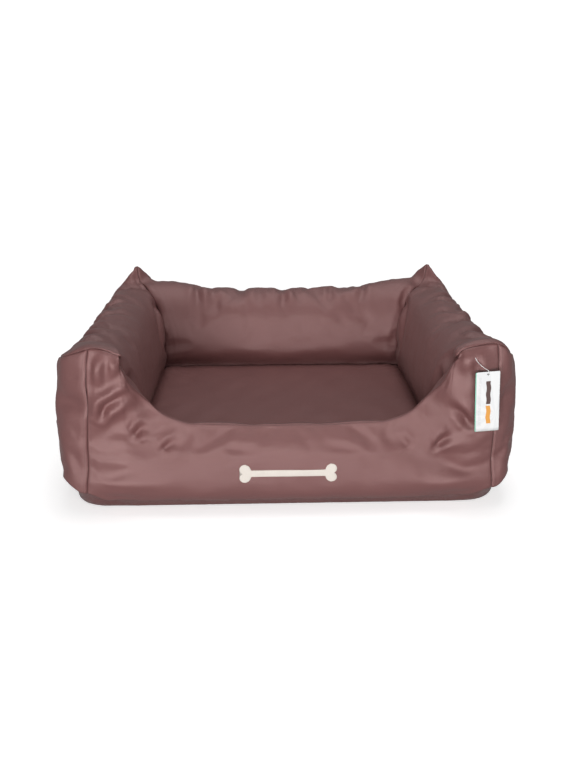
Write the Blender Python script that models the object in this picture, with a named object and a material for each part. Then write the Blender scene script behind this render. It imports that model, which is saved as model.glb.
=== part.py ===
"""A rectangular bolster bed for a pet, with a loose cushion in its well.

Metres, +Z up. The origin is the centre of the underside, and the low entry wall faces -Y.
Every wall is described by its cross-section: s runs inwards from the bed's widest outline,
z runs up from the floor. The cover's panels and the stuffing inside are offsets of that section.
"""

import math

import bmesh
import bpy
import numpy as np

# Overall sizes
BED_WIDTH = 0.80
BED_DEPTH = 0.63
RIM_HEIGHT = 0.283  # the seam along the outer top edge of the side and back bolsters
ENTRY_HEIGHT = 0.168  # the middle of the dipped front wall

# Bolster walls
BOLSTER_THICKNESS = 0.115
FRONT_THICKNESS = 0.090
CORNER_RADIUS = 0.046
BASE_INSET = 0.017  # how far the lower seam lies inside the widest outline
RIM_INSET = 0.013  # how far the top seam lies inside it
CROWN_RISE = 0.012  # how far the soft top swells above the rim seam
SHOULDER_HEIGHT = 0.175  # the inner face is upright below this
ENTRY_CURVE_WIDTH = 0.118  # the reach of each rounded bend beside the dip
REAR_EAR_RISE = 0.025
FRONT_EAR_RISE = 0.031
EAR_REACH = 0.055
REAR_EAR_DRAW = 0.032  # how far the rear corners' tops are drawn in

# Fabric, base and the room left between neighbours
FABRIC = 0.0010
CLEARANCE = 0.0004
FILL_ROOM = 0.0012  # the stuffing lies this far inside its cover
BASE_BORDER_HEIGHT = 0.014
BASE_FABRIC = 0.0012
BASE_REAR_RADIUS = 0.012

# Cushion
CUSHION_HEIGHT = 0.078
CUSHION_CROWN = 0.007
CUSHION_CORNER = 0.028
CUSHION_SIDE_ROOM = 0.003
CUSHION_REAR_ROOM = 0.0095

# Zips
ZIP_TAPE_WIDTH = 0.0145
ZIP_TAPE = 0.0008
COIL_WIDTH = 0.0026
COIL_RISE = 0.0013
COVER_ZIP_LENGTH = 0.600
CUSHION_ZIP_LENGTH = 0.460
SLIDER_LENGTH = 0.011
SLIDER_PLATE = 0.0012
BRIDGE_ROOM = 0.0034  # the space under the slider's bridge
BRIDGE_REACH = 0.0034  # from the bridge's middle to the inside of each foot
BRIDGE_BAR = 0.0011
BRIDGE_WIDTH = 0.0022
PULL_LENGTH = 0.020
PULL_WIDTH = 0.0074
PULL_THICKNESS = 0.0011
PULL_CROSSBAR = 0.0007  # half the height of the bar under the bridge
PULL_EYE_LENGTH = 0.0060
PULL_RAIL = 0.0014

# Front badge, a plain bone
BADGE_LENGTH = 0.172
BADGE_LOBE = 0.0098
BADGE_LOBE_SPREAD = 0.0072
BADGE_SHAFT = 0.0072
BADGE_HEIGHT = 0.078
BADGE_THREAD = 0.0008

# Hang tag
TAG_WIDTH = 0.040
TAG_HEIGHT = 0.109
TAG_CARD = 0.0006
TAG_HOLE = 0.0016
TAG_HOLE_DROP = 0.0045
TAG_TILT = math.radians(4.0)
TAG_PIN_RADIUS = 0.00045
TAG_STANDOFF = 0.0110
TAG_PIN_FROM_WELL = 0.028  # from the bolster's inner face to the anchor
TAG_PIN_TOP_RISE = 0.013  # above the height of the rim, on the raised post
TAG_PIN_SIDEWAYS = 0.025
TAG_PIN_FALL = 0.035
TAG_PIN_BAR = 0.005  # the short bar behind the card that holds it on

WALL_ROWS = 8
TOP_ROWS = 10
FACE_ROWS = 3  # below the shoulder
ARC_STEPS = 4
SIDE_SHARES = (0, 0.12, 0.3, 0.5, 0.68, 0.8, 0.88, 0.94, 1)  # stations along a side, closer at the ear

FLOOR_TOP = BASE_BORDER_HEIGHT + CLEARANCE
WALL_FOOT = FLOOR_TOP + CLEARANCE
ZIP_TOP = WALL_FOOT + 2 * ZIP_TAPE_WIDTH + CLEARANCE
STRAIGHT_X = BED_WIDTH / 2 - CORNER_RADIUS
STRAIGHT_Y = BED_DEPTH / 2 - CORNER_RADIUS
CLEAR_X = BED_WIDTH / 2 - BOLSTER_THICKNESS
TAG_PIN_TOP_X = CLEAR_X + TAG_PIN_FROM_WELL
EAR_X = BED_WIDTH / 2 - RIM_INSET
EAR_Y = BED_DEPTH / 2 - RIM_INSET
SKIN = FABRIC + CLEARANCE
FILL_DEPTH = FABRIC + FILL_ROOM

COLOURS = {
    "cover_fabric": ((0.150, 0.066, 0.064), 0.42),
    "cushion_fabric": ((0.112, 0.050, 0.049), 0.60),
    "base_fabric": ((0.105, 0.047, 0.045), 0.70),
    "lining_fabric": ((0.090, 0.042, 0.040), 0.80),
    "polyester_fibre": ((0.86, 0.86, 0.84), 0.95),
    "foam": ((0.83, 0.79, 0.66), 0.90),
    "zip_tape": ((0.085, 0.040, 0.039), 0.60),
    "zip_metal": ((0.30, 0.29, 0.28), 0.35),
    "embroidery_thread": ((0.72, 0.64, 0.56), 0.45),
    "tag_card": ((0.86, 0.86, 0.85), 0.55),
    "tag_nylon": ((0.80, 0.80, 0.80), 0.30),
}


def clear_scene():
    for obj in list(bpy.data.objects):
        bpy.data.objects.remove(obj, do_unlink=True)


def material(slot):
    found = bpy.data.materials.get(slot)
    if found:
        return found
    colour, roughness = COLOURS[slot]
    made = bpy.data.materials.new(slot)
    made.use_nodes = True
    shader = made.node_tree.nodes["Principled BSDF"]
    shader.inputs["Base Color"].default_value = (*colour, 1.0)
    shader.inputs["Roughness"].default_value = roughness
    shader.inputs["Metallic"].default_value = 1.0 if slot == "zip_metal" else 0.0
    return made


def solid(name, slot, points, faces, pivot=(0.0, 0.0, 0.0)):
    """A named object from points and triangles, its origin on pivot and its faces turned outwards."""
    mesh = bpy.data.meshes.new(name)
    mesh.from_pydata((np.asarray(points) - np.array(pivot)).tolist(), [], np.asarray(faces).tolist())
    shape = bmesh.new()
    shape.from_mesh(mesh)
    bmesh.ops.recalc_face_normals(shape, faces=shape.faces)
    if shape.calc_volume(signed=True) < 0:
        bmesh.ops.reverse_faces(shape, faces=shape.faces)
    shape.to_mesh(mesh)
    shape.free()
    mesh.shade_smooth()
    mesh.set_sharp_from_angle(angle=math.radians(40))
    mesh.materials.append(material(slot))
    obj = bpy.data.objects.new(name, mesh)
    obj.location = pivot
    bpy.context.scene.collection.objects.link(obj)
    return obj


def grid_triangles(rows, columns, start=0):
    """Two triangles for each cell of a grid numbered row by row."""
    row, column = np.meshgrid(np.arange(rows - 1), np.arange(columns - 1), indexing="ij")
    a = (row * columns + column).reshape(-1) + start
    return np.concatenate(
        [np.stack([a, a + 1, a + columns + 1], 1), np.stack([a, a + columns + 1, a + columns], 1)]
    )


def slab(name, slot, outside, inside, pivot=(0.0, 0.0, 0.0)):
    """A sheet with thickness: two grids of points of one size, joined round their border."""
    rows, columns = outside.shape[:2]
    count = rows * columns
    index = np.arange(count).reshape(rows, columns)
    border = np.concatenate([index[0, :-1], index[:-1, -1], index[-1, :0:-1], index[:0:-1, 0]])
    after = np.roll(border, -1)
    faces = np.concatenate(
        [
            grid_triangles(rows, columns),
            grid_triangles(rows, columns, count)[:, ::-1],
            np.stack([border, border + count, after + count], 1),
            np.stack([border, after + count, after], 1),
        ]
    )
    points = np.concatenate([outside.reshape(-1, 3), inside.reshape(-1, 3)])
    return solid(name, slot, points, faces, pivot)


def loft(name, slot, rings, closed=False, pivot=(0.0, 0.0, 0.0)):
    """A skin through loops of points. Its two ends are fans, or closed joins the last loop to the first."""
    rings = np.asarray(rings, float)
    loops, count = rings.shape[:2]
    index = np.arange(loops * count).reshape(loops, count)
    if closed:
        index = np.vstack([index, index[:1]])
    near = index[:-1].reshape(-1)
    near_next = np.roll(index[:-1], -1, axis=1).reshape(-1)
    far = index[1:].reshape(-1)
    far_next = np.roll(index[1:], -1, axis=1).reshape(-1)
    faces = [np.stack([near, near_next, far_next], 1), np.stack([near, far_next, far], 1)]
    points = [rings.reshape(-1, 3)]
    if not closed:
        for place, loop, turn in ((loops * count, index[0], -1), (loops * count + 1, index[-1], 1)):
            fan = np.stack([loop, np.roll(loop, -1), np.full(count, place)], 1)
            faces.append(fan[:, ::turn])
        points += [rings[0].mean(axis=0)[None], rings[-1].mean(axis=0)[None]]
    return solid(name, slot, np.concatenate(points), np.concatenate(faces), pivot)


def prism(name, slot, near, far, pivot=(0.0, 0.0, 0.0)):
    """An outline that may be hollow on one side, carried straight across and capped with ngons."""
    count = len(near)
    shape = bmesh.new()
    corners = [shape.verts.new(np.array(p) - np.array(pivot)) for p in np.concatenate([near, far])]
    shape.faces.new(corners[:count][::-1])
    shape.faces.new(corners[count:])
    for k in range(count):
        after = (k + 1) % count
        shape.faces.new((corners[k], corners[after], corners[after + count], corners[k + count]))
    bmesh.ops.recalc_face_normals(shape, faces=shape.faces)
    if shape.calc_volume(signed=True) < 0:
        bmesh.ops.reverse_faces(shape, faces=shape.faces)
    mesh = bpy.data.meshes.new(name)
    shape.to_mesh(mesh)
    shape.free()
    mesh.materials.append(material(slot))
    obj = bpy.data.objects.new(name, mesh)
    obj.location = pivot
    bpy.context.scene.collection.objects.link(obj)
    return obj


# Cross-sections


def wall_inset(v, depth=0.0):
    """How far the outer face lies inside the widest outline, v going from the lower seam to the top seam."""
    low = BASE_INSET * (1 - 2 * v) ** 2
    high = RIM_INSET * (2 * v - 1) ** 2
    return np.where(v < 0.5, low, high) + depth


def wall_height(v, top=RIM_HEIGHT, foot=WALL_FOOT):
    return foot + v * (top - foot)


def offset_path(path, depth):
    """A path in (s, z) moved depth to the inside of the bolster, along its own normals."""
    along = np.gradient(path, axis=0)
    along /= np.linalg.norm(along, axis=1)[:, None]
    return path + depth * np.stack([along[:, 1], -along[:, 0]], 1)


def top_path(depth=0.0, crown=1.0):
    """The section of the inner panel: from the top seam over the swollen top and down to the floor."""
    t = np.linspace(0, 1, TOP_ROWS)[:, None]
    seam = RIM_HEIGHT + FABRIC + 2 * CLEARANCE
    width = BOLSTER_THICKNESS - RIM_INSET
    start = np.array([RIM_INSET, seam])
    lift = np.array([RIM_INSET + 0.38 * width, seam + 2.2 * CROWN_RISE * crown])
    fall = np.array([BOLSTER_THICKNESS, seam + 0.3 * CROWN_RISE * crown])
    shoulder = np.array([BOLSTER_THICKNESS, SHOULDER_HEIGHT])
    curve = start * (1 - t) ** 3 + lift * 3 * t * (1 - t) ** 2 + fall * 3 * t**2 * (1 - t) + shoulder * t**3
    drop = np.linspace(SHOULDER_HEIGHT, WALL_FOOT, FACE_ROWS + 1)[1:]
    straight = np.stack([np.full(FACE_ROWS, BOLSTER_THICKNESS), drop], 1)
    path = offset_path(np.concatenate([curve, straight]), depth)
    path[-1, 1] = WALL_FOOT
    return path


def outline_inset(z, depth):
    """How far inside the widest outline the cover's face lies at height z."""
    return wall_inset(np.clip((z - WALL_FOOT) / (RIM_HEIGHT - WALL_FOOT), 0, 1), depth)


def raise_corners(points):
    """Lifts the tops of the four corners into soft points and draws the rear two in.

    Neighbours are moved alike, so they stay clear of each other."""
    points = np.array(points, float)
    x, y, z = points[..., 0], points[..., 1], points[..., 2]
    share = np.clip((z - 0.45 * RIM_HEIGHT) / (0.55 * RIM_HEIGHT), 0, 1.1) ** 2
    rear = np.exp(-((np.abs(x) - EAR_X) ** 2 + (y - EAR_Y) ** 2) / EAR_REACH**2) * share
    front = np.exp(-((np.abs(x) - STRAIGHT_X) ** 2 + (y + EAR_Y) ** 2) / EAR_REACH**2) * share
    points[..., 0] = x - np.sign(x) * REAR_EAR_DRAW * rear
    points[..., 1] = y - 0.5 * REAR_EAR_DRAW * rear
    points[..., 2] = z + REAR_EAR_RISE * rear + FRONT_EAR_RISE * front
    return points


def place_wall(wall, along, s, z):
    """A wall's own coordinates turned into the bed's."""
    along, s, z = np.broadcast_arrays(along, s, z)
    places = {
        "left": (-BED_WIDTH / 2 + s, along, z),
        "right": (BED_WIDTH / 2 - s, along, z),
        "back": (along, BED_DEPTH / 2 - s, z),
    }
    return raise_corners(np.stack(places[wall], -1))


# Outer panels


def side_outer_grid(wall, depth):
    """The side's outer face: round the front corner and along the side to the rear corner's diagonal."""
    v = np.linspace(0, 1, WALL_ROWS + 1)[None, :]
    inset = wall_inset(v, depth)
    radius = CORNER_RADIUS - inset
    angle = np.linspace(0, math.pi / 2, ARC_STEPS + 1)[:, None]
    angle[0] += CLEARANCE / CORNER_RADIUS
    front_s = CORNER_RADIUS - radius * np.sin(angle)
    front_along = -STRAIGHT_Y - radius * np.cos(angle)
    share = np.array(SIDE_SHARES)[1:, None]
    end = BED_DEPTH / 2 - inset - CLEARANCE
    run = -STRAIGHT_Y + share * (end + STRAIGHT_Y)
    s = np.concatenate([front_s, inset + 0 * share])
    return place_wall(wall, np.concatenate([front_along, run]), s, wall_height(v))


def back_shares():
    """Stations across the back, from -1 at one corner's diagonal to 1 at the other, with the zip's ends."""
    zip_end = (COVER_ZIP_LENGTH / 2 + 4 * CLEARANCE) / (BED_WIDTH / 2 - BASE_INSET - FABRIC)
    half = [0, 0.3, 0.55, zip_end, zip_end + 0.004, (zip_end + 1) / 2, (zip_end + 3) / 4, 1]
    return np.array([-share for share in half[:0:-1]] + half), zip_end


def back_outer_grid(depth):
    """The back's outer face, cut away above the base where the cover's zip runs."""
    v = np.linspace(0, 1, WALL_ROWS + 1)[None, :]
    share, zip_end = back_shares()
    share = share[:, None]
    cut = np.abs(share) < zip_end + 0.001
    z = wall_height(v, foot=np.where(cut, ZIP_TOP + CLEARANCE, WALL_FOOT))
    inset = outline_inset(z, depth)
    end = BED_WIDTH / 2 - inset - CLEARANCE
    return place_wall("back", share * end, inset, z)


def entry_columns(half_width):
    """Places across the front wall, closer together round the two bends."""
    bend = ENTRY_CURVE_WIDTH * np.sin(np.linspace(0, math.pi / 2, 7))
    flat = np.linspace(0, CLEAR_X - ENTRY_CURVE_WIDTH, 4)[:-1]
    half = np.concatenate([flat, CLEAR_X - ENTRY_CURVE_WIDTH + bend])
    if half_width > CLEAR_X:
        half = np.concatenate([half, np.linspace(CLEAR_X, half_width, 4)[1:]])
    else:
        half[-1] = half_width
    return np.concatenate([-half[:0:-1], half])


def entry_top(x):
    """The front wall's top edge: level in the middle, then a quarter ellipse up to the side bolster."""
    share = np.clip((np.abs(x) - CLEAR_X + ENTRY_CURVE_WIDTH) / ENTRY_CURVE_WIDTH, 0, 1)
    return RIM_HEIGHT - (RIM_HEIGHT - ENTRY_HEIGHT) * np.sqrt(1 - share**2)


def front_face_grid(columns, depth, rows=None):
    v = np.linspace(0, 1, WALL_ROWS + 1)[None, :] if rows is None else rows
    x = columns[:, None]
    z = wall_height(v, entry_top(x))
    y = -BED_DEPTH / 2 + wall_inset(v, depth) + 0 * x
    return raise_corners(np.stack(np.broadcast_arrays(x, y, z), -1))


def front_back_grid(columns, depth, rows):
    """The front wall's inner face: upright at the floor and leaning over to the knife edge at the top."""
    x = columns[:, None]
    z = wall_height(rows, entry_top(x))
    lean = (1 - rows**2.2) ** 0.6
    edge = RIM_INSET + SKIN + FABRIC
    s = edge + (FRONT_THICKNESS - edge) * lean - depth
    y = -BED_DEPTH / 2 + s + 0 * x
    return raise_corners(np.stack(np.broadcast_arrays(x, y, z), -1))


def make_front_wall():
    columns = entry_columns(STRAIGHT_X - CLEARANCE)
    slab(
        "front_panel",
        "cover_fabric",
        front_face_grid(columns, 0),
        front_face_grid(columns, FABRIC),
    )
    inner_columns = entry_columns(CLEAR_X - CLEARANCE)
    rows = np.sin(np.linspace(0, math.pi / 2, WALL_ROWS + 1))[None, :]
    slab(
        "front_inner_panel",
        "cover_fabric",
        front_back_grid(inner_columns, 0, rows),
        front_back_grid(inner_columns, FABRIC, rows),
    )
    fill_rows = rows * 0.93
    slab(
        "front_filling",
        "polyester_fibre",
        front_face_grid(inner_columns, FILL_DEPTH, fill_rows),
        front_back_grid(inner_columns, FILL_DEPTH, fill_rows),
    )


# Side and back bolsters


def arc_ring(path, inset, outer, angle):
    """One station round the front corner: the outer points follow the arc, and the rest narrow to it."""
    radius = CORNER_RADIUS - inset
    rim = CORNER_RADIUS - (CORNER_RADIUS - RIM_INSET) * math.sin(angle)
    share = (BOLSTER_THICKNESS - path[:, 0]) / (BOLSTER_THICKNESS - RIM_INSET)
    narrowed = BOLSTER_THICKNESS - share * (BOLSTER_THICKNESS - rim)
    s = np.where(outer, CORNER_RADIUS - radius * math.sin(angle), narrowed)
    return np.stack([-STRAIGHT_Y - radius * math.cos(angle), s, path[:, 1]], 1)


def side_rings(section, depth):
    """Rings of (along, s, z) down a side bolster: round the front corner, then back to the diagonal."""
    rings = []
    behind_front = max(depth, SKIN + CLEARANCE)
    for angle in np.linspace(0, math.pi / 2, ARC_STEPS + 1):
        path, outer = section(depth, math.sin(angle))
        rings.append(arc_ring(path, outline_inset(path[:, 1], behind_front), outer, angle))
    end = BED_DEPTH / 2 - path[:, 0] - CLEARANCE
    for share in SIDE_SHARES[1:]:
        rings.append(np.stack([-STRAIGHT_Y + share * (end + STRAIGHT_Y), path[:, 0], path[:, 1]], 1))
    return np.array(rings)


def back_rings(section, depth):
    """Rings of (along, s, z) across the back bolster, each end cut on the corner's diagonal."""
    path, _outer = section(depth, 1.0)
    end = BED_WIDTH / 2 - path[:, 0] - CLEARANCE
    return np.array([np.stack([share * end, path[:, 0], path[:, 1]], 1) for share in back_shares()[0]])


def inner_section(depth, crown):
    path = top_path(depth, crown)
    return path, np.zeros(len(path), bool)


def fill_section(depth, crown):
    """The whole closed section of the stuffing, and which of its points lie on the outer face."""
    v = np.linspace(0, 0.985, WALL_ROWS + 1)
    outer = np.stack([wall_inset(v, depth), wall_height(v)], 1)
    inner = top_path(depth, crown)[1:]
    return np.concatenate([outer, inner]), np.arange(len(outer) + len(inner)) < len(outer)


def wall_grid(wall, rings):
    return place_wall(wall, rings[..., 0], rings[..., 1], rings[..., 2])


def make_bolsters():
    for wall, rings in (("left", side_rings), ("right", side_rings), ("back", back_rings)):
        slab(
            f"{wall}_inner_panel",
            "cover_fabric",
            wall_grid(wall, rings(inner_section, 0)),
            wall_grid(wall, rings(inner_section, FABRIC)),
        )
        loft(f"{wall}_filling", "polyester_fibre", wall_grid(wall, rings(fill_section, FILL_DEPTH)))
    for wall in ("left", "right"):
        outside, inside = (side_outer_grid(wall, depth) for depth in (0, FABRIC))
        slab(f"{wall}_outer_panel", "cover_fabric", outside, inside)
    slab("back_outer_panel", "cover_fabric", back_outer_grid(0), back_outer_grid(FABRIC))


# Base


def rounded_loop(half_x, half_y, front_radius, rear_radius, z, centre_y=0.0):
    """A rectangle with round corners, as one closed loop at height z."""
    angles = np.linspace(0, math.pi / 2, ARC_STEPS + 1)
    corners = ((1, 1, rear_radius), (-1, 1, rear_radius), (-1, -1, front_radius), (1, -1, front_radius))
    loop = []
    for quarter, (sx, sy, radius) in enumerate(corners):
        turn = angles + quarter * math.pi / 2
        middle = np.array([sx * (half_x - radius), sy * (half_y - radius)])
        loop.append(middle + radius * np.stack([np.cos(turn), np.sin(turn)], 1))
    flat = np.concatenate(loop)
    return np.column_stack([flat[:, 0], flat[:, 1] + centre_y, np.full(len(flat), z)])


def base_loop(inset, z):
    rear = max(BASE_REAR_RADIUS - inset + BASE_INSET, 0.004)
    return rounded_loop(BED_WIDTH / 2 - inset, BED_DEPTH / 2 - inset, CORNER_RADIUS - inset, rear, z)


def make_base():
    outside = BASE_INSET - FABRIC
    inside = outside + BASE_FABRIC
    loft(
        "base_panel",
        "base_fabric",
        [
            base_loop(outside + 0.003, 0),
            base_loop(outside, 0.003),
            base_loop(outside, BASE_BORDER_HEIGHT),
            base_loop(inside, BASE_BORDER_HEIGHT),
            base_loop(inside + 0.002, BASE_FABRIC),
        ],
    )
    room = inside + CLEARANCE
    loft(
        "floor_wadding",
        "polyester_fibre",
        [
            base_loop(room + 0.003, BASE_FABRIC + CLEARANCE),
            base_loop(room, BASE_BORDER_HEIGHT - FABRIC - CLEARANCE),
        ],
    )
    loft(
        "floor_lining",
        "lining_fabric",
        [base_loop(room, FLOOR_TOP - FABRIC), base_loop(room, FLOOR_TOP)],
    )


# Cushion

CUSHION_FOOT = FLOOR_TOP + CLEARANCE
CUSHION_HALF_X = CLEAR_X - CUSHION_SIDE_ROOM
CUSHION_REAR = BED_DEPTH / 2 - BOLSTER_THICKNESS - CUSHION_REAR_ROOM
CUSHION_FRONT = -BED_DEPTH / 2 + FRONT_THICKNESS + CUSHION_SIDE_ROOM
CUSHION_HALF_Y = (CUSHION_REAR - CUSHION_FRONT) / 2
CUSHION_MIDDLE = (CUSHION_REAR + CUSHION_FRONT) / 2


def cushion_loop(inset, z):
    radius = max(CUSHION_CORNER - inset, 0.004)
    half_x, half_y = CUSHION_HALF_X - inset, CUSHION_HALF_Y - inset
    return rounded_loop(half_x, half_y, radius, radius, z, CUSHION_MIDDLE)


def crown_loops(drop, edge):
    """Loops over the cushion's crowned top, from near its middle out to its edge."""
    top = CUSHION_FOOT + CUSHION_HEIGHT - drop
    insets = np.array([0.165, 0.11, 0.06, 0.025, edge])
    rises = CUSHION_CROWN * (1 - (1 - insets / CUSHION_HALF_Y) ** 4)
    return [cushion_loop(inset, top + rise) for inset, rise in zip(insets, rises)]


def border_path(inset):
    """The cushion's side from one end of the zip, round the front, to the other end."""
    end = CUSHION_ZIP_LENGTH / 2 + CLEARANCE
    loop = cushion_loop(inset, 0)[:, :2]
    rear = np.array([[end, CUSHION_REAR - inset], [-end, CUSHION_REAR - inset]])
    quarter = ARC_STEPS + 1
    round_way = np.concatenate([loop[quarter : 4 * quarter], loop[:quarter]])
    return np.concatenate([rear[1:], round_way, rear[:1]])


def make_cushion():
    low = CUSHION_FOOT + SKIN
    high = CUSHION_FOOT + CUSHION_HEIGHT - SKIN - 0.001
    outer, inner = crown_loops(0, 0), crown_loops(FABRIC, 0)
    loft("cushion_top_panel", "cushion_fabric", outer + inner[::-1])
    loft(
        "cushion_bottom_panel",
        "cushion_fabric",
        [cushion_loop(0, CUSHION_FOOT), cushion_loop(0, CUSHION_FOOT + FABRIC)],
    )
    grids = []
    for inset in (0, FABRIC):
        path = border_path(inset)
        rows = [np.column_stack([path, np.full(len(path), z)]) for z in (low, high)]
        grids.append(np.array(rows))
    slab("cushion_border", "cushion_fabric", *grids)
    core = SKIN + 0.0004
    loft(
        "cushion_foam",
        "foam",
        [cushion_loop(core, low + 0.0004), cushion_loop(core, high - 0.0004)] + crown_loops(0.0028, core)[::-1][1:],
    )


# Zips


def zip_band(name, low, high, coil_low, length, face, out):
    """One side of a zip: a flat tape with its coil standing along the edge that meets the other side.

    face(z) is the y of the cloth's outer face at z, and out is the way it faces (+1 is +Y)."""
    coil_high = coil_low + COIL_WIDTH
    front = [(low, 0), (coil_low, 0), (coil_low, COIL_RISE), (coil_high, COIL_RISE), (coil_high, 0), (high, 0)]
    front = [step for k, step in enumerate(front) if k == 0 or step != front[k - 1]]
    section = [(z, face(z) + out * rise) for z, rise in front]
    section += [(z, face(z) - out * ZIP_TAPE) for z in (high, low)]
    near, far = (np.array([(x, y, z) for z, y in section]) for x in (-length / 2, length / 2))
    prism(name, "zip_tape", near, far)


def make_slider(name, x, z, face_y, out):
    """A slider: a plate with a lip on each side of the coils, and a bridge that holds the pull."""
    lip = COIL_WIDTH + 0.0006
    back = face_y + out * 0.0005
    under = face_y + out * (COIL_RISE + 0.0005)
    top = under + out * SLIDER_PLATE
    section = [
        (-lip - 0.0012, back), (-lip, back), (-lip, under), (lip, under),
        (lip, back), (lip + 0.0012, back), (lip + 0.0012, top), (-lip - 0.0012, top),
    ]
    half = SLIDER_LENGTH / 2
    near, far = (np.array([(x + dx, y, z + dz) for dz, y in section]) for dx in (-half, half))
    slider = prism(name, "zip_metal", near, far, pivot=(x, top, z))
    reach = BRIDGE_REACH + BRIDGE_BAR
    room = BRIDGE_ROOM
    arch = [
        (-reach, -0.0006), (-reach, room), (-reach + 0.0008, room + BRIDGE_BAR),
        (reach - 0.0008, room + BRIDGE_BAR), (reach, room), (reach, -0.0006),
        (BRIDGE_REACH, -0.0006), (BRIDGE_REACH, room), (-BRIDGE_REACH, room), (-BRIDGE_REACH, -0.0006),
    ]
    across = (-BRIDGE_WIDTH / 2, BRIDGE_WIDTH / 2)
    near, far = (np.array([(x + dx, top + out * rise, z + dz) for dz, rise in arch]) for dx in across)
    bridge = prism(name + "_bridge", "zip_metal", near, far, pivot=(x, top, z))
    bridge.hide_render = True
    bridge.display_type = "WIRE"
    join = slider.modifiers.new("bridge", "BOOLEAN")
    join.operation = "UNION"
    join.object = bridge
    return top


def make_pull(name, x, z, top, out):
    """A pull tab hanging by the bar at the top of its eye, which lies under the slider's bridge."""
    hinge_y = top + out * BRIDGE_ROOM / 2
    outline, eye = [], []
    half = PULL_WIDTH / 2
    eye_half = half - PULL_RAIL
    eye_middle = -PULL_CROSSBAR - PULL_EYE_LENGTH / 2
    for turn in np.linspace(0, 2 * math.pi, 24, endpoint=False):
        c, s = math.cos(turn), math.sin(turn)
        grow = max(abs(c), abs(s))
        eye.append((eye_half * c / grow, eye_middle + PULL_EYE_LENGTH / 2 * s / grow))
        low = -(PULL_LENGTH + eye_middle) if s < 0 else PULL_CROSSBAR - eye_middle
        taper = 1.0 if s > -0.5 else 0.86
        outline.append((half * taper * c / grow, eye_middle + abs(low) * s / grow))
    rings = []
    for loop, side in ((outline, -1), (eye, -1), (eye, 1), (outline, 1)):
        y = hinge_y + out * side * PULL_THICKNESS / 2
        rings.append([(x + dx, y, z + dz) for dx, dz in loop])
    loft(name, "zip_metal", rings, closed=True, pivot=(x, hinge_y, z))


def make_cover_zip():
    def face(z):
        v = (z - WALL_FOOT) / (RIM_HEIGHT - WALL_FOOT)
        return BED_DEPTH / 2 - float(wall_inset(v))

    middle = WALL_FOOT + ZIP_TAPE_WIDTH + CLEARANCE / 2
    half = CLEARANCE / 2
    zip_band(
        "cover_zip_lower", WALL_FOOT, middle - half, middle - half - COIL_WIDTH, COVER_ZIP_LENGTH, face, 1
    )
    zip_band("cover_zip_upper", middle + half, ZIP_TOP, middle + half, COVER_ZIP_LENGTH, face, 1)
    x = COVER_ZIP_LENGTH / 2 - SLIDER_LENGTH
    top = make_slider("cover_zip_slider", x, middle, face(middle + 0.006), 1)
    make_pull("cover_zip_pull", x, middle, top, 1)


def make_cushion_zip():
    low = CUSHION_FOOT + SKIN
    high = CUSHION_FOOT + CUSHION_HEIGHT - SKIN - 0.001
    middle = (low + high) / 2
    half = CLEARANCE / 2

    def face(_z):
        return CUSHION_REAR

    zip_band("cushion_zip_lower", low, middle - half, middle - half - COIL_WIDTH, CUSHION_ZIP_LENGTH, face, 1)
    zip_band("cushion_zip_upper", middle + half, high, middle + half, CUSHION_ZIP_LENGTH, face, 1)
    x = CUSHION_ZIP_LENGTH / 2 - SLIDER_LENGTH
    top = make_slider("cushion_zip_slider", x, middle, CUSHION_REAR, 1)
    make_pull("cushion_zip_pull", x, middle, top, 1)


# Badge and tag


def front_plane(x, z):
    """The y of the front panel's outer face."""
    share = (z - WALL_FOOT) / (entry_top(x) - WALL_FOOT)
    return -BED_DEPTH / 2 + wall_inset(np.clip(share, 0, 1))


def make_badge():
    """A bone: a plain shaft with two round lobes at each end, lying on the front panel."""
    x = np.concatenate([np.linspace(-1, -0.72, 7), np.linspace(-0.5, 0.5, 5), np.linspace(0.72, 1, 7)])
    x = x * BADGE_LENGTH / 2
    from_lobe = np.abs(x) - (BADGE_LENGTH / 2 - BADGE_LOBE)
    lobe = np.sqrt(np.clip(BADGE_LOBE**2 - from_lobe**2, 0, None))
    half = np.where(lobe > 0, BADGE_LOBE_SPREAD + lobe, 0)
    half = np.maximum(half, np.where(np.abs(from_lobe) <= BADGE_LOBE, BADGE_LOBE_SPREAD, BADGE_SHAFT))
    across = np.linspace(-1, 1, 7)[None, :]
    z = BADGE_HEIGHT + half[:, None] * across
    y = front_plane(0 * z, z) - CLEARANCE - 0.0003
    places = [np.stack(np.broadcast_arrays(x[:, None], y - d, z), -1) for d in (BADGE_THREAD, 0)]
    slab("front_emblem", "embroidery_thread", *places)


def tag_places():
    """The pin's anchor on the post's face, and the centre of the tag's hole at the pin's lower end."""
    top_z = RIM_HEIGHT + TAG_PIN_TOP_RISE
    face = float(front_plane(TAG_PIN_TOP_X, RIM_HEIGHT))
    top = np.array([TAG_PIN_TOP_X, face - 4 * TAG_PIN_RADIUS, top_z])
    hole_x = TAG_PIN_TOP_X + TAG_PIN_SIDEWAYS
    return top, np.array([hole_x, -BED_DEPTH / 2 - TAG_STANDOFF, top_z - TAG_PIN_FALL])


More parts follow.
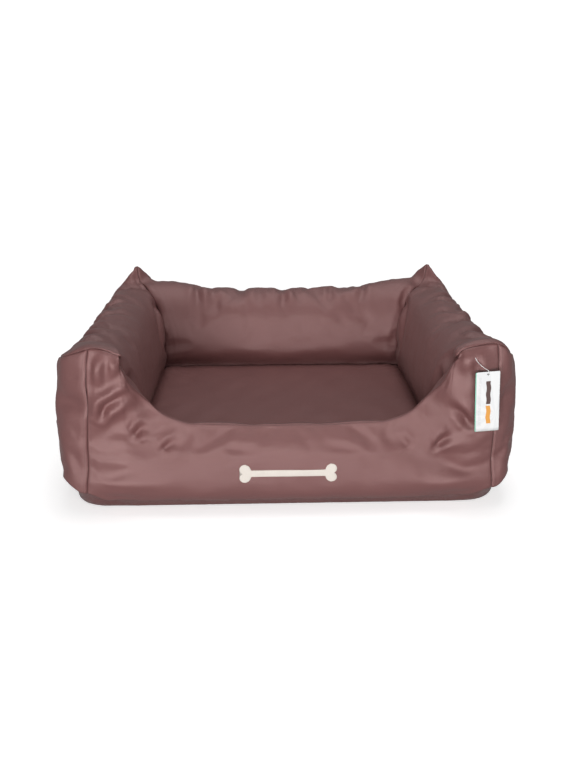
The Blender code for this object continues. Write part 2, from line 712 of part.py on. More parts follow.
def make_tag():
    """A card with a round hole near its top edge, hanging a little askew."""
    _top, hole = tag_places()
    outline, eye = [], []
    drop = TAG_HEIGHT / 2 - TAG_HOLE_DROP
    for turn in np.linspace(0, 2 * math.pi, 32, endpoint=False):
        c, s = math.cos(turn), math.sin(turn)
        grow = max(abs(c), abs(s))
        outline.append((TAG_WIDTH / 2 * c / grow, TAG_HEIGHT / 2 * s / grow - drop))
        eye.append((TAG_HOLE * c, TAG_HOLE * s))
    tilt = np.array([[math.cos(TAG_TILT), -math.sin(TAG_TILT)], [math.sin(TAG_TILT), math.cos(TAG_TILT)]])
    rings = []
    for loop, side in ((outline, -1), (eye, -1), (eye, 1), (outline, 1)):
        flat = np.array(loop) @ tilt.T
        y = np.full(len(flat), hole[1] + side * TAG_CARD / 2)
        rings.append(np.column_stack([hole[0] + flat[:, 0], y, hole[2] + flat[:, 1]]))
    loft("hang_tag", "tag_card", rings, closed=True, pivot=tuple(hole))


def make_tag_pin():
    """A nylon pin: it bows from its anchor over the card's top edge, through the hole, into a short bar."""
    top, hole = tag_places()
    front = TAG_CARD / 2 + CLEARANCE + 2 * TAG_PIN_RADIUS
    over = hole + np.array([-0.0015, -front - 0.0004, TAG_HOLE_DROP + 0.003])
    through = hole + np.array([0, -front, 0])
    behind = hole + np.array([0, front, 0])
    t = np.linspace(0, 1, 12)[:, None]
    bow = np.array([-0.003, -0.001, -0.004]) * np.sin(math.pi * t)
    route = np.concatenate([top + (over - top) * t + bow, [through, behind, behind + (TAG_PIN_BAR, 0, 0)]])
    curve = bpy.data.curves.new("tag_pin", "CURVE")
    curve.dimensions = "3D"
    curve.bevel_depth = TAG_PIN_RADIUS
    curve.bevel_resolution = 2
    curve.use_fill_caps = True
    spline = curve.splines.new("POLY")
    spline.points.add(len(route) - 1)
    for point, place in zip(spline.points, route - top):
        point.co = (*place, 1)
    curve.materials.append(material("tag_nylon"))
    pin = bpy.data.objects.new("tag_pin", curve)
    pin.location = top
    bpy.context.scene.collection.objects.link(pin)


def main():
    clear_scene()
    make_base()
    make_front_wall()
    make_bolsters()
    make_cover_zip()
    make_cushion()
    make_cushion_zip()
    make_badge()
    make_tag()
    make_tag_pin()


main()
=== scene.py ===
import math

import bpy
import numpy as np
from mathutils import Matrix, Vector


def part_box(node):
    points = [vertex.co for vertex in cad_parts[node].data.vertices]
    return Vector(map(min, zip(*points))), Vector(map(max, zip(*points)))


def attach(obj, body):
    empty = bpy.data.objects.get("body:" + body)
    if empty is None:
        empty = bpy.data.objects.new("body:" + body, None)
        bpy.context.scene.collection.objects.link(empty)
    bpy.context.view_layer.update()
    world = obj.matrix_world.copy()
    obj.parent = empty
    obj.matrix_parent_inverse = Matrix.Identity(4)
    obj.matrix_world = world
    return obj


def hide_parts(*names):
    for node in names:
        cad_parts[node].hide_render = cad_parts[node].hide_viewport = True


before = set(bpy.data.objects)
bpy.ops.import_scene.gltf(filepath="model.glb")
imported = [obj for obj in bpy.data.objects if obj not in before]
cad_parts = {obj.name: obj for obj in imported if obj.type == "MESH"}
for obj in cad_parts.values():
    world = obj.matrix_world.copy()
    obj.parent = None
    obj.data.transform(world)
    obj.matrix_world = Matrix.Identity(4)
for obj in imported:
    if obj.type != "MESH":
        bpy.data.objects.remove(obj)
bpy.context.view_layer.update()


# Small helpers


def smooth(t):
    # 0 below 0, 1 above 1, and an S-shaped cubic between
    t = np.clip(t, 0, 1)
    return t * t * (3 - 2 * t)


def evenly(path, count):
    # a path of points read again at equal steps along its length
    step = np.concatenate([[0], np.cumsum(np.linalg.norm(np.diff(path, axis=0), axis=1))])
    even = np.linspace(0, step[-1], count)
    return np.stack([np.interp(even, step, path[:, k]) for k in range(path.shape[1])], 1)


def waves(seed, count, low, high, *places):
    # a sum of sine waves with seeded directions, lengths between low and high, and phases
    rng = np.random.default_rng(seed)
    total = 0
    for _ in range(count):
        turn = rng.normal(size=len(places))
        turn *= 2 * math.pi / rng.uniform(low, high) / np.linalg.norm(turn)
        total = total + np.sin(sum(k * p for k, p in zip(turn, places)) + rng.uniform(0, 6.28))
    return total / math.sqrt(count)


def gridFaces(index):
    # the quads of a grid of point numbers
    a, b, c, d = index[:-1, :-1], index[1:, :-1], index[1:, 1:], index[:-1, 1:]
    return np.stack([a, b, c, d], -1).reshape(-1, 4)


def ringQuads(loops, count):
    # the quads between closed loops of points
    index = np.arange(loops * count).reshape(loops, count)
    return gridFaces(np.concatenate([index, index[:, :1]], axis=1))


def quadFacings(points, quads):
    # the cross product of each quad's diagonals, which points where the quad faces
    a, b, c, d = (points[quads[:, k]] for k in range(4))
    return np.cross(c - a, d - b)


def gridNormals(grid):
    # the unit normals of a grid of points, from its two tangents
    across = np.cross(np.gradient(grid, axis=0), np.gradient(grid, axis=1))
    return across / (np.linalg.norm(across, axis=-1, keepdims=True) + 1e-12)


def gridLengths(grid):
    # how far each grid line lies along the cloth, averaged over the lines across it
    rows = np.linalg.norm(np.diff(grid, axis=0), axis=2).mean(axis=1)
    columns = np.linalg.norm(np.diff(grid, axis=1), axis=2).mean(axis=0)
    u = np.concatenate([[0], np.cumsum(rows)])
    v = np.concatenate([[0], np.cumsum(columns)])
    return np.stack(np.broadcast_arrays(u[:, None], v[None, :]), -1)


def addPiece(name, points, faces, body, paint, uv=None, stand=()):
    # a mesh object riding on a body, with its finish, its cloth map and the CAD nodes it stands for
    mesh = bpy.data.meshes.new(name)
    faces = faces if isinstance(faces, list) else faces.tolist()
    mesh.from_pydata(points.tolist(), [], faces)
    if uv is not None:
        addClothMap(mesh, uv)
    mesh.shade_smooth()
    mesh.materials.append(paint)
    piece = bpy.data.objects.new(name, mesh)
    bpy.context.scene.collection.objects.link(piece)
    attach(piece, body)
    if stand:
        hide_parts(*stand)
    return piece


def addClothMap(mesh, uv):
    # one place on the cloth for each point, in metres
    layer = mesh.uv_layers.new(name="Cloth")
    corners = np.zeros(len(mesh.loops), np.int32)
    mesh.loops.foreach_get("vertex_index", corners)
    layer.data.foreach_set("uv", uv.astype(np.float32)[corners].reshape(-1))


def thicken(piece, thickness):
    # gives a sheet its thickness, behind its outside
    wall = piece.modifiers.new("wall", "SOLIDIFY")
    wall.thickness = thickness
    wall.offset = -1


def loftFaces(loops, count):
    # quads between closed loops of points, and an ngon on each end
    last = list(range((loops - 1) * count, loops * count))
    return ringQuads(loops, count).tolist() + [list(range(count)), last[::-1]]


def addLoft(name, loops, body, paint, stand=()):
    # a closed skin through loops of points, turned to face outwards
    faces = loftFaces(*loops.shape[:2])
    points = loops.reshape(-1, 3)
    if signedVolume(points, faces) < 0:
        faces = [face[::-1] for face in faces]
    return addPiece(name, points, faces, body, paint, stand=stand)


def signedVolume(points, faces):
    # the sum of the tetrahedra from the middle to each quad and cap, above 0 when faces point outwards
    middle = points.mean(axis=0)
    total = 0.0
    quads = np.array([face for face in faces if len(face) == 4])
    a, b, c, d = (points[quads[:, k]] - middle for k in range(4))
    total += (a * (np.cross(b, c) + np.cross(c, d))).sum()
    for face in faces[-2:]:
        if len(face) > 4:
            rim = points[face] - middle
            total += (rim[0] * np.cross(rim[1:-1], rim[2:])).sum()
    return total


# Shader maths


class Wire:
    # one output of a shader node, so that sums and products of outputs read as plain arithmetic
    def __init__(self, paint, socket):
        self.paint = paint
        self.socket = socket

    def maths(self, operation, first, second=0.0):
        return self.paint.node("ShaderNodeMath", {"operation": operation}, {0: first, 1: second})

    def __add__(self, other):
        return self.maths("ADD", self, other)

    def __radd__(self, other):
        return self.maths("ADD", other, self)

    def __sub__(self, other):
        return self.maths("SUBTRACT", self, other)

    def __rsub__(self, other):
        return self.maths("SUBTRACT", other, self)

    def __mul__(self, other):
        return self.maths("MULTIPLY", self, other)

    def __rmul__(self, other):
        return self.maths("MULTIPLY", other, self)

    def __truediv__(self, other):
        return self.maths("DIVIDE", self, other)

    def __lt__(self, other):
        return self.maths("LESS_THAN", self, other)

    def __gt__(self, other):
        return self.maths("GREATER_THAN", self, other)

    def __abs__(self):
        return self.maths("ABSOLUTE", self)

    def sine(self):
        return self.maths("SINE", self)

    def part(self):
        return self.maths("FRACT", self)


class Paint:
    # a material being made: node() adds any node, its settings first and then the values of its inputs
    def __init__(self, name, colour, roughness, **uniform):
        self.material = bpy.data.materials.new(name)
        self.material.use_nodes = True
        self.tree = self.material.node_tree
        self.shader = self.tree.nodes["Principled BSDF"]
        self.set("Base Color", (*colour, 1.0))
        self.set("Roughness", roughness)
        for socket, value in uniform.items():
            self.set(socket.replace("_", " "), value)

    def put(self, socket, value):
        if isinstance(value, Wire):
            self.tree.links.new(value.socket, socket)
        else:
            socket.default_value = value

    def set(self, name, value):
        self.put(self.shader.inputs[name], value)

    def node(self, kind, settings=None, values=None, out=0):
        made = self.tree.nodes.new(kind)
        for name, value in (settings or {}).items():
            setattr(made, name, value)
        for name, value in (values or {}).items():
            self.put(made.inputs[name], value)
        return Wire(self, made.outputs[out])

    def place(self):
        return self.node("ShaderNodeTexCoord", out=3)

    def cloth(self):
        # the two lengths along the cloth, in metres
        uv = self.node("ShaderNodeUVMap", {"uv_map": "Cloth"})
        split = self.node("ShaderNodeSeparateXYZ", values={0: uv})
        return split, Wire(self, split.socket.node.outputs[1])

    def noise(self, scale, detail=3.0, roughness=0.5, vector=None, stretch=None):
        vector = self.place() if vector is None else vector
        if stretch:
            vector = self.node("ShaderNodeMapping", values={"Vector": vector, "Scale": stretch})
        values = {"Vector": vector, "Scale": scale, "Detail": detail, "Roughness": roughness}
        return self.node("ShaderNodeTexNoise", values=values)

    def mix(self, factor, first, second):
        first, second = ((*value, 1.0) if isinstance(value, tuple) else value for value in (first, second))
        return self.node("ShaderNodeMix", {"data_type": "RGBA"}, {0: factor, 6: first, 7: second}, out=2)

    def bump(self, height, distance, strength=1.0, normal=None):
        values = {"Height": height, "Distance": distance, "Strength": strength}
        if normal is not None:
            values["Normal"] = normal
        return self.node("ShaderNodeBump", values=values)


def tinted(colour, amount):
    return tuple(min(1.0, channel * amount) for channel in colour)


# Finishes, one function each

finish = {
    "coverColour": (0.152, 0.0630, 0.0610),
    # the cushion is the cover's nylon, painted a little lighter than the cover's to make up for the shade in
    # the well
    "cushionColourWithPaintedLight": (0.166, 0.0670, 0.0640),
    "baseColour": (0.112, 0.039, 0.037),
    "liningColour": (0.080, 0.036, 0.035),
    "threadPitch": 0.00062,
    "ribPitch": 0.00094,
    "tagHeight": 0.109,
}


def wovenNylon(name, colour, roughness, sheen, softness, seamed=False):
    # colour: two slow noises and the thread gaps; height: rib wave plus thread wave, under soft dents
    paint = Paint(name, colour, roughness, Sheen_Weight=sheen, Sheen_Roughness=0.35, Specular_IOR_Level=0.85)
    paint.set("Specular Tint", (1.0, 0.74, 0.72, 1.0))
    paint.set("Sheen Tint", (0.92, 0.70, 0.68, 1.0))
    u, v = paint.cloth()
    rib = (v * (2 * math.pi / finish["ribPitch"])).sine()
    thread = (u * (2 * math.pi / finish["threadPitch"])).sine()
    weave = rib * 0.6 + thread * 0.4
    slub = paint.noise(95.0, 2.0, stretch=(0.35, 0.35, 3.0))
    cloud = paint.noise(7.0, 3.0, 0.6)
    dents = paint.noise(26.0, 3.0, 0.55)
    light, dark = tinted(colour, 1.13), tinted(colour, 0.84)
    shade = paint.mix(cloud * 0.6 + slub * 0.4, dark, light)
    shade = paint.mix((weave < -0.55) * 0.30, shade, tinted(colour, 0.55))
    if seamed:
        reach = paint.node("ShaderNodeAttribute", {"attribute_name": "Seam"}, out=2)
        # a dark line along each seam: partly the sewing thread, partly painted shade in the seam's groove
        shade = paint.mix((reach < 0.0008) * 0.65, shade, tinted(colour, 0.25))
        stitch = (abs(reach - 0.0062) < 0.0005) * (((u + v) / 0.0042).part() < 0.62)
        shade = paint.mix(stitch * 0.45, shade, tinted(colour, 0.5))
        weave = weave - stitch * 2.5
    paint.set("Base Color", shade)
    paint.set("Roughness", roughness - 0.05 + slub * 0.10)
    soft = paint.bump(dents, softness, 0.35)
    paint.set("Normal", paint.bump(weave + slub * 0.8, 0.00016, 0.45, soft))
    return paint.material


def coarseWeave(name, colour):
    # a basket weave: warp and weft waves whose larger one stands proud, with uneven yarn
    paint = Paint(name, colour, 0.72, Sheen_Weight=0.15, Sheen_Roughness=0.5, Specular_IOR_Level=0.35)
    u, v = paint.cloth()
    warp = (u * (2 * math.pi / 0.0018)).sine()
    weft = (v * (2 * math.pi / 0.0018)).sine()
    weave = warp * weft
    yarn = paint.noise(260.0, 2.0)
    cloud = paint.noise(12.0, 3.0)
    shade = paint.mix(weave * 0.35 + yarn * 0.5 + cloud * 0.3, tinted(colour, 0.6), tinted(colour, 1.35))
    paint.set("Base Color", shade)
    paint.set("Roughness", 0.66 + yarn * 0.14)
    paint.set("Normal", paint.bump(weave + yarn * 0.5, 0.0004, 0.6))
    return paint.material


def feltedLining(name, colour):
    # short crossed fibres from two stretched noises
    paint = Paint(name, colour, 0.88, Sheen_Weight=0.25, Specular_IOR_Level=0.2)
    one = paint.noise(210.0, 4.0, 0.6, stretch=(1.0, 4.0, 1.0))
    two = paint.noise(210.0, 4.0, 0.6, stretch=(4.0, 1.0, 1.0))
    fibre = one * 0.5 + two * 0.5
    paint.set("Base Color", paint.mix(fibre, tinted(colour, 0.65), tinted(colour, 1.4)))
    paint.set("Roughness", 0.80 + fibre * 0.16)
    paint.set("Normal", paint.bump(fibre, 0.0006, 0.5))
    return paint.material


def fibreFilling(name):
    # tangled white fibre: a fine noise bent by a slower one
    colour = (0.86, 0.86, 0.84)
    paint = Paint(name, colour, 0.92, Sheen_Weight=0.3, Specular_IOR_Level=0.2)
    tangle = paint.noise(70.0, 5.0, 0.7)
    clump = paint.noise(14.0, 3.0, 0.5)
    paint.set("Base Color", paint.mix(tangle * 0.6 + clump * 0.4, (0.66, 0.66, 0.63), (0.93, 0.93, 0.92)))
    paint.set("Roughness", 0.86 + tangle * 0.12)
    paint.set("Normal", paint.bump(tangle + clump, 0.003, 0.6))
    return paint.material


def openFoam(name):
    # cream foam: open cells from a Voronoi pattern over a slow noise
    paint = Paint(name, (0.80, 0.74, 0.58), 0.86, Specular_IOR_Level=0.25)
    cells = paint.node("ShaderNodeTexVoronoi", values={"Vector": paint.place(), "Scale": 520.0})
    cloud = paint.noise(9.0)
    shade = paint.mix(cells * 0.7 + cloud * 0.3, (0.58, 0.50, 0.34), (0.86, 0.81, 0.66))
    paint.set("Base Color", shade)
    paint.set("Roughness", 0.78 + cells * 0.15)
    paint.set("Normal", paint.bump(cells, 0.0008, 0.7))
    return paint.material


def zipTape(name):
    # herringbone tape: slanted ribs that turn round every few millimetres
    colour = (0.085, 0.038, 0.037)
    paint = Paint(name, colour, 0.62, Sheen_Weight=0.15, Specular_IOR_Level=0.4)
    spot = paint.node("ShaderNodeSeparateXYZ", values={0: paint.place()})
    height = Wire(paint, spot.socket.node.outputs[2])
    turn = abs((height / 0.0048).part() - 0.5)
    rib = ((spot + turn * 0.0048) * (2 * math.pi / 0.0008)).sine()
    yarn = paint.noise(300.0, 2.0)
    paint.set("Base Color", paint.mix(rib * 0.3 + yarn * 0.6, tinted(colour, 0.65), tinted(colour, 1.35)))
    paint.set("Roughness", 0.56 + yarn * 0.14)
    paint.set("Normal", paint.bump(rib + yarn, 0.0002, 0.5))
    return paint.material


def castZinc(name):
    # plated zinc: brushed along its length, duller and darker where hands have worn it
    paint = Paint(name, (0.34, 0.33, 0.32), 0.30, Metallic=1.0)
    brushed = paint.noise(500.0, 3.0, stretch=(6.0, 1.0, 0.4))
    worn = paint.noise(120.0, 3.0)
    paint.set("Base Color", paint.mix(worn, (0.23, 0.22, 0.21), (0.46, 0.45, 0.44)))
    paint.set("Roughness", 0.22 + worn * 0.22 + brushed * 0.08)
    paint.set("Normal", paint.bump(brushed + worn, 0.00008, 0.5))
    return paint.material


def moulded(name, colour, roughness):
    # plastic coil or nylon with a faint mould grain
    paint = Paint(name, colour, roughness, Specular_IOR_Level=0.5)
    grain = paint.noise(420.0, 2.0)
    paint.set("Base Color", paint.mix(grain, tinted(colour, 0.85), tinted(colour, 1.12)))
    paint.set("Roughness", roughness - 0.05 + grain * 0.1)
    paint.set("Normal", paint.bump(grain, 0.00005, 0.4))
    return paint.material


def satinStitch(name):
    # silky thread, lighter on the crowns of the stitches and soiled a little by a slow noise
    colour = (0.55, 0.51, 0.46)
    paint = Paint(name, colour, 0.42, Sheen_Weight=0.05, Specular_IOR_Level=0.5)
    cloud = paint.noise(60.0, 3.0)
    fine = paint.noise(900.0, 2.0, stretch=(1.0, 1.0, 0.12))
    stitch = (paint.cloth()[0] * (2 * math.pi / 0.0009)).sine()
    paint.set("Base Color", paint.mix(cloud * 0.5 + fine * 0.5, (0.60, 0.545, 0.49), (0.78, 0.72, 0.66)))
    paint.set("Roughness", 0.32 + fine * 0.16)
    paint.set("Normal", paint.bump(fine + stitch * 0.8, 0.00022, 0.7))
    return paint.material


def printedCard(name):
    # white card with pale rays from one corner, two rounded bars, and hairlines down its left side
    paint = Paint(name, (0.78, 0.78, 0.78), 0.42, Coat_Weight=0.1, Specular_IOR_Level=0.5)
    u, v = paint.cloth()
    across = paint.node("ShaderNodeMath", {"operation": "ARCTAN2"}, {0: v - 0.030, 1: u - 0.034})
    rays = (across * 11.0).sine() > 0.0
    card = paint.mix(rays * 0.5, (0.72, 0.72, 0.72), (0.63, 0.64, 0.65))

    def bar(middle, length):
        side = abs(u - 0.02075 + (v * 300.0).sine() * 0.0006) < 0.00375
        return side * (abs(v - middle) < length / 2)

    card = paint.mix(bar(0.071, 0.042), card, (0.090, 0.050, 0.045))
    card = paint.mix(bar(0.0305, 0.033), card, (0.66, 0.30, 0.06))
    lines = (abs((u / 0.0017).part() - 0.5) < 0.12) * (abs(u - 0.0055) < 0.0026)
    dashes = paint.noise(700.0, 1.0, stretch=(0.3, 1.0, 1.0)) > 0.42
    lines = lines * dashes * (abs(v - finish["tagHeight"] / 2) < 0.045)
    card = paint.mix(lines * 0.6, card, (0.30, 0.30, 0.31))
    pulp = paint.noise(900.0, 3.0)
    paint.set("Base Color", card)
    paint.set("Roughness", 0.38 + pulp * 0.12)
    paint.set("Normal", paint.bump(pulp, 0.00004, 0.4))
    return paint.material


def greenCard(name):
    # the tag's back leaf, tinted green, with the same pulp grain
    paint = Paint(name, (0.25, 0.55, 0.42), 0.45, Specular_IOR_Level=0.5)
    pulp = paint.noise(900.0, 3.0)
    paint.set("Base Color", paint.mix(pulp, (0.19, 0.48, 0.36), (0.34, 0.66, 0.52)))
    paint.set("Roughness", 0.40 + pulp * 0.12)
    paint.set("Normal", paint.bump(pulp, 0.00004, 0.4))
    return paint.material


paints = {
    "cover": wovenNylon("coverNylon", finish["coverColour"], 0.44, 0.05, 0.0013, True),
    "cushion": wovenNylon("cushionNylon", finish["cushionColourWithPaintedLight"], 0.50, 0.06, 0.0010),
    "base": coarseWeave("baseCanvas", finish["baseColour"]),
    "lining": feltedLining("liningFelt", finish["liningColour"]),
    "fibre": fibreFilling("polyesterFibre"),
    "foam": openFoam("cushionFoam"),
    "tape": zipTape("zipTape"),
    "metal": castZinc("zipMetal"),
    "coil": moulded("zipCoil", (0.060, 0.028, 0.027), 0.38),
    "thread": satinStitch("badgeThread"),
    "card": printedCard("tagCard"),
    "leaf": greenCard("tagBackLeaf"),
    "nylon": moulded("tagNylon", (0.82, 0.82, 0.82), 0.28),
}
print("finishes mixed:", len(paints))


# Camera, light and floor

shot = {
    "place": (-0.037, -1.496, 0.709),
    "look": (0.0290, 0.929, -0.3665),
    "lens": 35.1,
    "world": 0.30,
    "floorGlow": 0.50,
    "wallGlow": 1.0,
}
lamps = {
    "key": {"place": (-0.5, -2.9, 0.42), "aim": (0, 0, 0.14), "size": (1.5, 0.5), "power": 74},
    "fill": {"place": (1.6, -2.4, 0.9), "aim": (0, 0, 0.1), "size": (1.2, 0.8), "power": 10},
    "top": {"place": (0.1, 0.4, 2.4), "aim": (0, 0.1, 0), "size": (1.6, 1.2), "power": 23},
}


def makeStage():
    # the camera, a white world, three area lamps and a sweep of paper
    scene = bpy.context.scene
    scene.view_settings.view_transform = "Standard"
    lens = bpy.data.cameras.new("camera")
    lens.lens = shot["lens"]
    camera = bpy.data.objects.new("camera", lens)
    camera.location = shot["place"]
    camera.rotation_mode = "QUATERNION"
    camera.rotation_quaternion = Vector(shot["look"]).to_track_quat("-Z", "Y")
    scene.collection.objects.link(camera)
    scene.camera = camera

    world = bpy.data.worlds.new("studio")
    world.use_nodes = True
    world.node_tree.nodes["Background"].inputs["Color"].default_value = (1, 1, 1, 1)
    world.node_tree.nodes["Background"].inputs["Strength"].default_value = shot["world"]
    scene.world = world

    for name, lamp in lamps.items():
        data = bpy.data.lights.new(name, "AREA")
        data.shape = "RECTANGLE"
        data.size, data.size_y = lamp["size"]
        data.energy = lamp["power"]
        light = bpy.data.objects.new(name, data)
        light.location = lamp["place"]
        light.rotation_mode = "QUATERNION"
        light.rotation_quaternion = (Vector(lamp["aim"]) - Vector(lamp["place"])).to_track_quat("-Z", "Y")
        scene.collection.objects.link(light)

    # a sweep: level, then a quarter circle of radius 3 m up to a wall all round, as a turned profile
    turn = np.linspace(0, 2 * math.pi, 65)[:, None]
    bend = np.linspace(0, math.pi / 2, 9)
    radius = np.concatenate([[0.02, 2, 4, 6], 6 + 3 * np.sin(bend[1:]), [9]])[None, :]
    height = np.concatenate([[0, 0, 0, 0], 3 - 3 * np.cos(bend[1:]), [9]])[None, :]
    grid = np.stack(np.broadcast_arrays(radius * np.cos(turn), radius * np.sin(turn), height), -1)
    mesh = bpy.data.meshes.new("sweep")
    index = np.arange(grid[..., 0].size).reshape(grid.shape[:2])
    mesh.from_pydata(grid.reshape(-1, 3).tolist(), [], gridFaces(index).tolist())
    mesh.shade_smooth()
    floor = bpy.data.objects.new("sweep", mesh)
    scene.collection.objects.link(floor)
    # its glow rises from the bed outwards, so that the far paper stays white
    paper = Paint("sweepPaper", (0.90, 0.90, 0.90), 0.9, Specular_IOR_Level=0.1)
    away = paper.node("ShaderNodeVectorMath", {"operation": "LENGTH"}, {0: paper.place()}, out=1)
    settings = {"interpolation_type": "SMOOTHSTEP"}
    values = {0: away, 1: 0.9, 2: 3.2, 3: shot["floorGlow"], 4: shot["wallGlow"]}
    glow = paper.node("ShaderNodeMapRange", settings, values)
    paper.set("Emission Color", paper.mix(glow, (0.0, 0.0, 0.0), (1.0, 1.0, 1.0)))
    paper.set("Emission Strength", 1.0)
    mesh.materials.append(paper.material)
    floor.visible_glossy = False
    floor.visible_diffuse = False
    floor.visible_shadow = False


makeStage()
print("stage set")


# The bed's cover: its drafted outline

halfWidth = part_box("right_outer_panel")[1].x
halfDepth = -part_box("front_panel")[0].y

cover = {
    "swellX": 0.011,          # how far the stuffed cloth stands outside the plain outline
    "swellY": 0.004,
    "bolster": 0.125,         # from the outline to the inner face
    "frontBolster": 0.094,
    "rim": 0.274,             # height of the top seam
    "entry": 0.166,           # height of the dipped front edge
    "corner": 0.056,          # radius of the front corners
    "footInset": 0.0165,
    "rimInset": 0.010,
    "backSag": 0.016,         # how far the back's top dips in the middle
    "bellyHeight": 0.052,
    "bellyTop": 0.120,
    "crown": 0.012,
    "shoulder": 0.165,
    "bend": 0.112,            # reach of the rounded bends beside the dip
    "bendPower": 1.7,
    "earLift": 0.046,
    "earDraw": 0.026,
    "earReach": 0.054,
    "earShift": (0.017, -0.005),  # the left and the right ear along X
    "earShiftReach": 0.105,
    "postLift": 0.037,
    "lean": 0.021,            # how far the front's top edge leans back
    "leanFrom": 0.100,
    "bulge": 0.011,           # how far the inner faces swell into the well
    "hem": 0.0150,
    "zipInset": 0.0125,       # the back's foot over the zip, just outside its tape
    "zipRun": 0.302,
    "zipTop": 0.0446,
    "arcSteps": 9,
    "sideSteps": 74,
    "backSteps": 104,
    "wallRows": 36,
    "pathRows": 46,
    "flatSteps": 46,
    "bendSteps": 22,
}
outX = halfWidth + cover["swellX"]
outY = halfDepth + cover["swellY"]
clearX = outX - cover["bolster"]
seamX = outX - cover["corner"]
seamY = outY - cover["corner"]
runStart, runEnd = -seamY, outY
postRows = 9


def wallInset(z):
    # a quarter ellipse under the belly, then a rising power curve towards the top seam
    low = np.clip(1 - (z - cover["hem"]) / cover["bellyHeight"], 0, 1)
    high = np.clip((z - cover["bellyTop"]) / (cover["rim"] - cover["bellyTop"]), 0, 1)
    return cover["footInset"] * (1 - np.sqrt(1 - low**2)) + cover["rimInset"] * high**1.7


def frontHem(x):
    # the front's lower edge: slightly wavy, then a straight tuck up to the corner seam
    calm = smooth((seamX - 0.045 - np.abs(x)) / 0.03)
    wave = 0.0011 * np.sin(x / 0.0121 + 1.0) + 0.0008 * np.sin(x / 0.0057)
    return cover["hem"] + 0.022 * smooth((np.abs(x) - seamX + 0.042) / 0.042) + wave * calm


def sideHem(run):
    # the side's lower edge, by the distance from the corner seam: high round the corner, then down and wavy
    wave = 0.0010 * np.sin(run / 0.0133) * smooth((run - 0.19) / 0.04)
    return cover["hem"] + 0.022 + 0.020 * smooth(run / 0.055) - 0.042 * smooth((run - 0.055) / 0.12) + wave


def backHem(x):
    # the back's lower edge steps up over the zip
    lift = cover["zipTop"] - cover["hem"]
    return cover["hem"] + lift * smooth((cover["zipRun"] + 0.012 - np.abs(x)) / 0.011)


def entryTop(x):
    # level in the middle, then a quarter of a superellipse up to the bolster's end
    share = np.clip((np.abs(x) - clearX + cover["bend"]) / cover["bend"], 0, 1)
    power = cover["bendPower"]
    return cover["rim"] - (cover["rim"] - cover["entry"]) * (1 - share**power) ** (1 / power)


def frontLean(x, z):
    # how far the upper part of the front leans back above its belly, fading out beside the dip
    belly = cover["leanFrom"] + 0.055 * smooth((np.abs(x) - 0.17) / 0.12)
    return cover["lean"] * smooth((z - belly) / 0.060) * smooth((clearX - 0.002 - np.abs(x)) / 0.04)


def crownPath():
    # a cubic Bezier from the top seam over the swollen top, then down the inner face, which bulges
    t = np.linspace(0, 1, 80)[:, None]
    width = cover["bolster"] - cover["rimInset"]
    a = np.array([cover["rimInset"], cover["rim"]])
    b = np.array([cover["rimInset"] + 0.30 * width, cover["rim"] + 2.6 * cover["crown"]])
    c = np.array([cover["bolster"], cover["rim"] + 1.0 * cover["crown"]])
    d = np.array([cover["bolster"], cover["shoulder"]])
    curve = a * (1 - t) ** 3 + b * 3 * t * (1 - t) ** 2 + c * 3 * t**2 * (1 - t) + d * t**3
    floor = np.array([[cover["bolster"], cover["hem"]]])
    path = evenly(np.concatenate([curve, floor]), cover["pathRows"])
    height = path[:, 1]
    path[:, 0] += cover["bulge"] * smooth((height - 0.095) / 0.045) * smooth((0.245 - height) / 0.08)
    return path


def postPath():
    # the bolster's closed front end: level from the corner seam to the inner face, then down
    corner = cover["corner"]
    turn = np.array([[corner, cover["rim"]], [cover["bolster"], cover["rim"]]])
    floor = np.array([[cover["bolster"], cover["hem"]]])
    top = evenly(turn, postRows)
    face = evenly(np.concatenate([turn[1:], floor]), cover["pathRows"] - postRows + 1)
    return np.concatenate([top, face[1:]])


def frontEdge(x):
    # how far the front's top edge lies behind the outline: less on the steep part of each bend
    steep = smooth((np.abs(x) - clearX + 0.03) / 0.05)
    top = wallInset(entryTop(x) * steep + cover["rim"] * (1 - steep))
    return top + frontLean(x, entryTop(x))


def frontDepth(v, edge):
    # how far behind the outline the front's inner face lies, v going up to its knife edge
    return edge + (cover["frontBolster"] - edge) * (1 - v**2.4) ** 0.62


def warp(points):
    # lifts and draws in the soft corners: Gaussian bumps that fade out below half height
    points = np.array(points, float)
    x, y, z = points[..., 0], points[..., 1], points[..., 2]
    share = np.clip((z - 0.45 * cover["rim"]) / (0.55 * cover["rim"]), 0, 1.1) ** 2
    earX, earY = outX - cover["rimInset"], outY - cover["rimInset"]
    fromEar = (np.abs(x) - earX) ** 2 + (y - earY) ** 2
    rear = np.exp(-fromEar / cover["earReach"] ** 2) * share
    across = np.abs(x) - seamX + 0.012
    across = np.where(across > 0, across / 0.048, across / 0.105)
    front = np.exp(-(across**2) - ((y + earY) / 0.060) ** 2) * share
    near = np.exp(-(((np.abs(x) - seamX) / 0.034) ** 2) - ((y + outY) / 0.05) ** 2)
    shift = np.where(x > 0, 0.013, 0.017 * z / cover["rim"] - 0.006) * near
    left, right = cover["earShift"]
    around = np.exp(-fromEar / cover["earShiftReach"] ** 2) * share
    shift = shift + np.where(x > 0, right, left) * around
    points[..., 0] = x - np.sign(x) * cover["earDraw"] * rear + shift
    points[..., 1] = y - 0.6 * cover["earDraw"] * rear
    sag = cover["backSag"] * smooth((0.30 - np.abs(x)) / 0.16) * smooth((y - 0.06) / 0.1) * share
    points[..., 2] = z + cover["earLift"] * rear + cover["postLift"] * front - sag
    return points


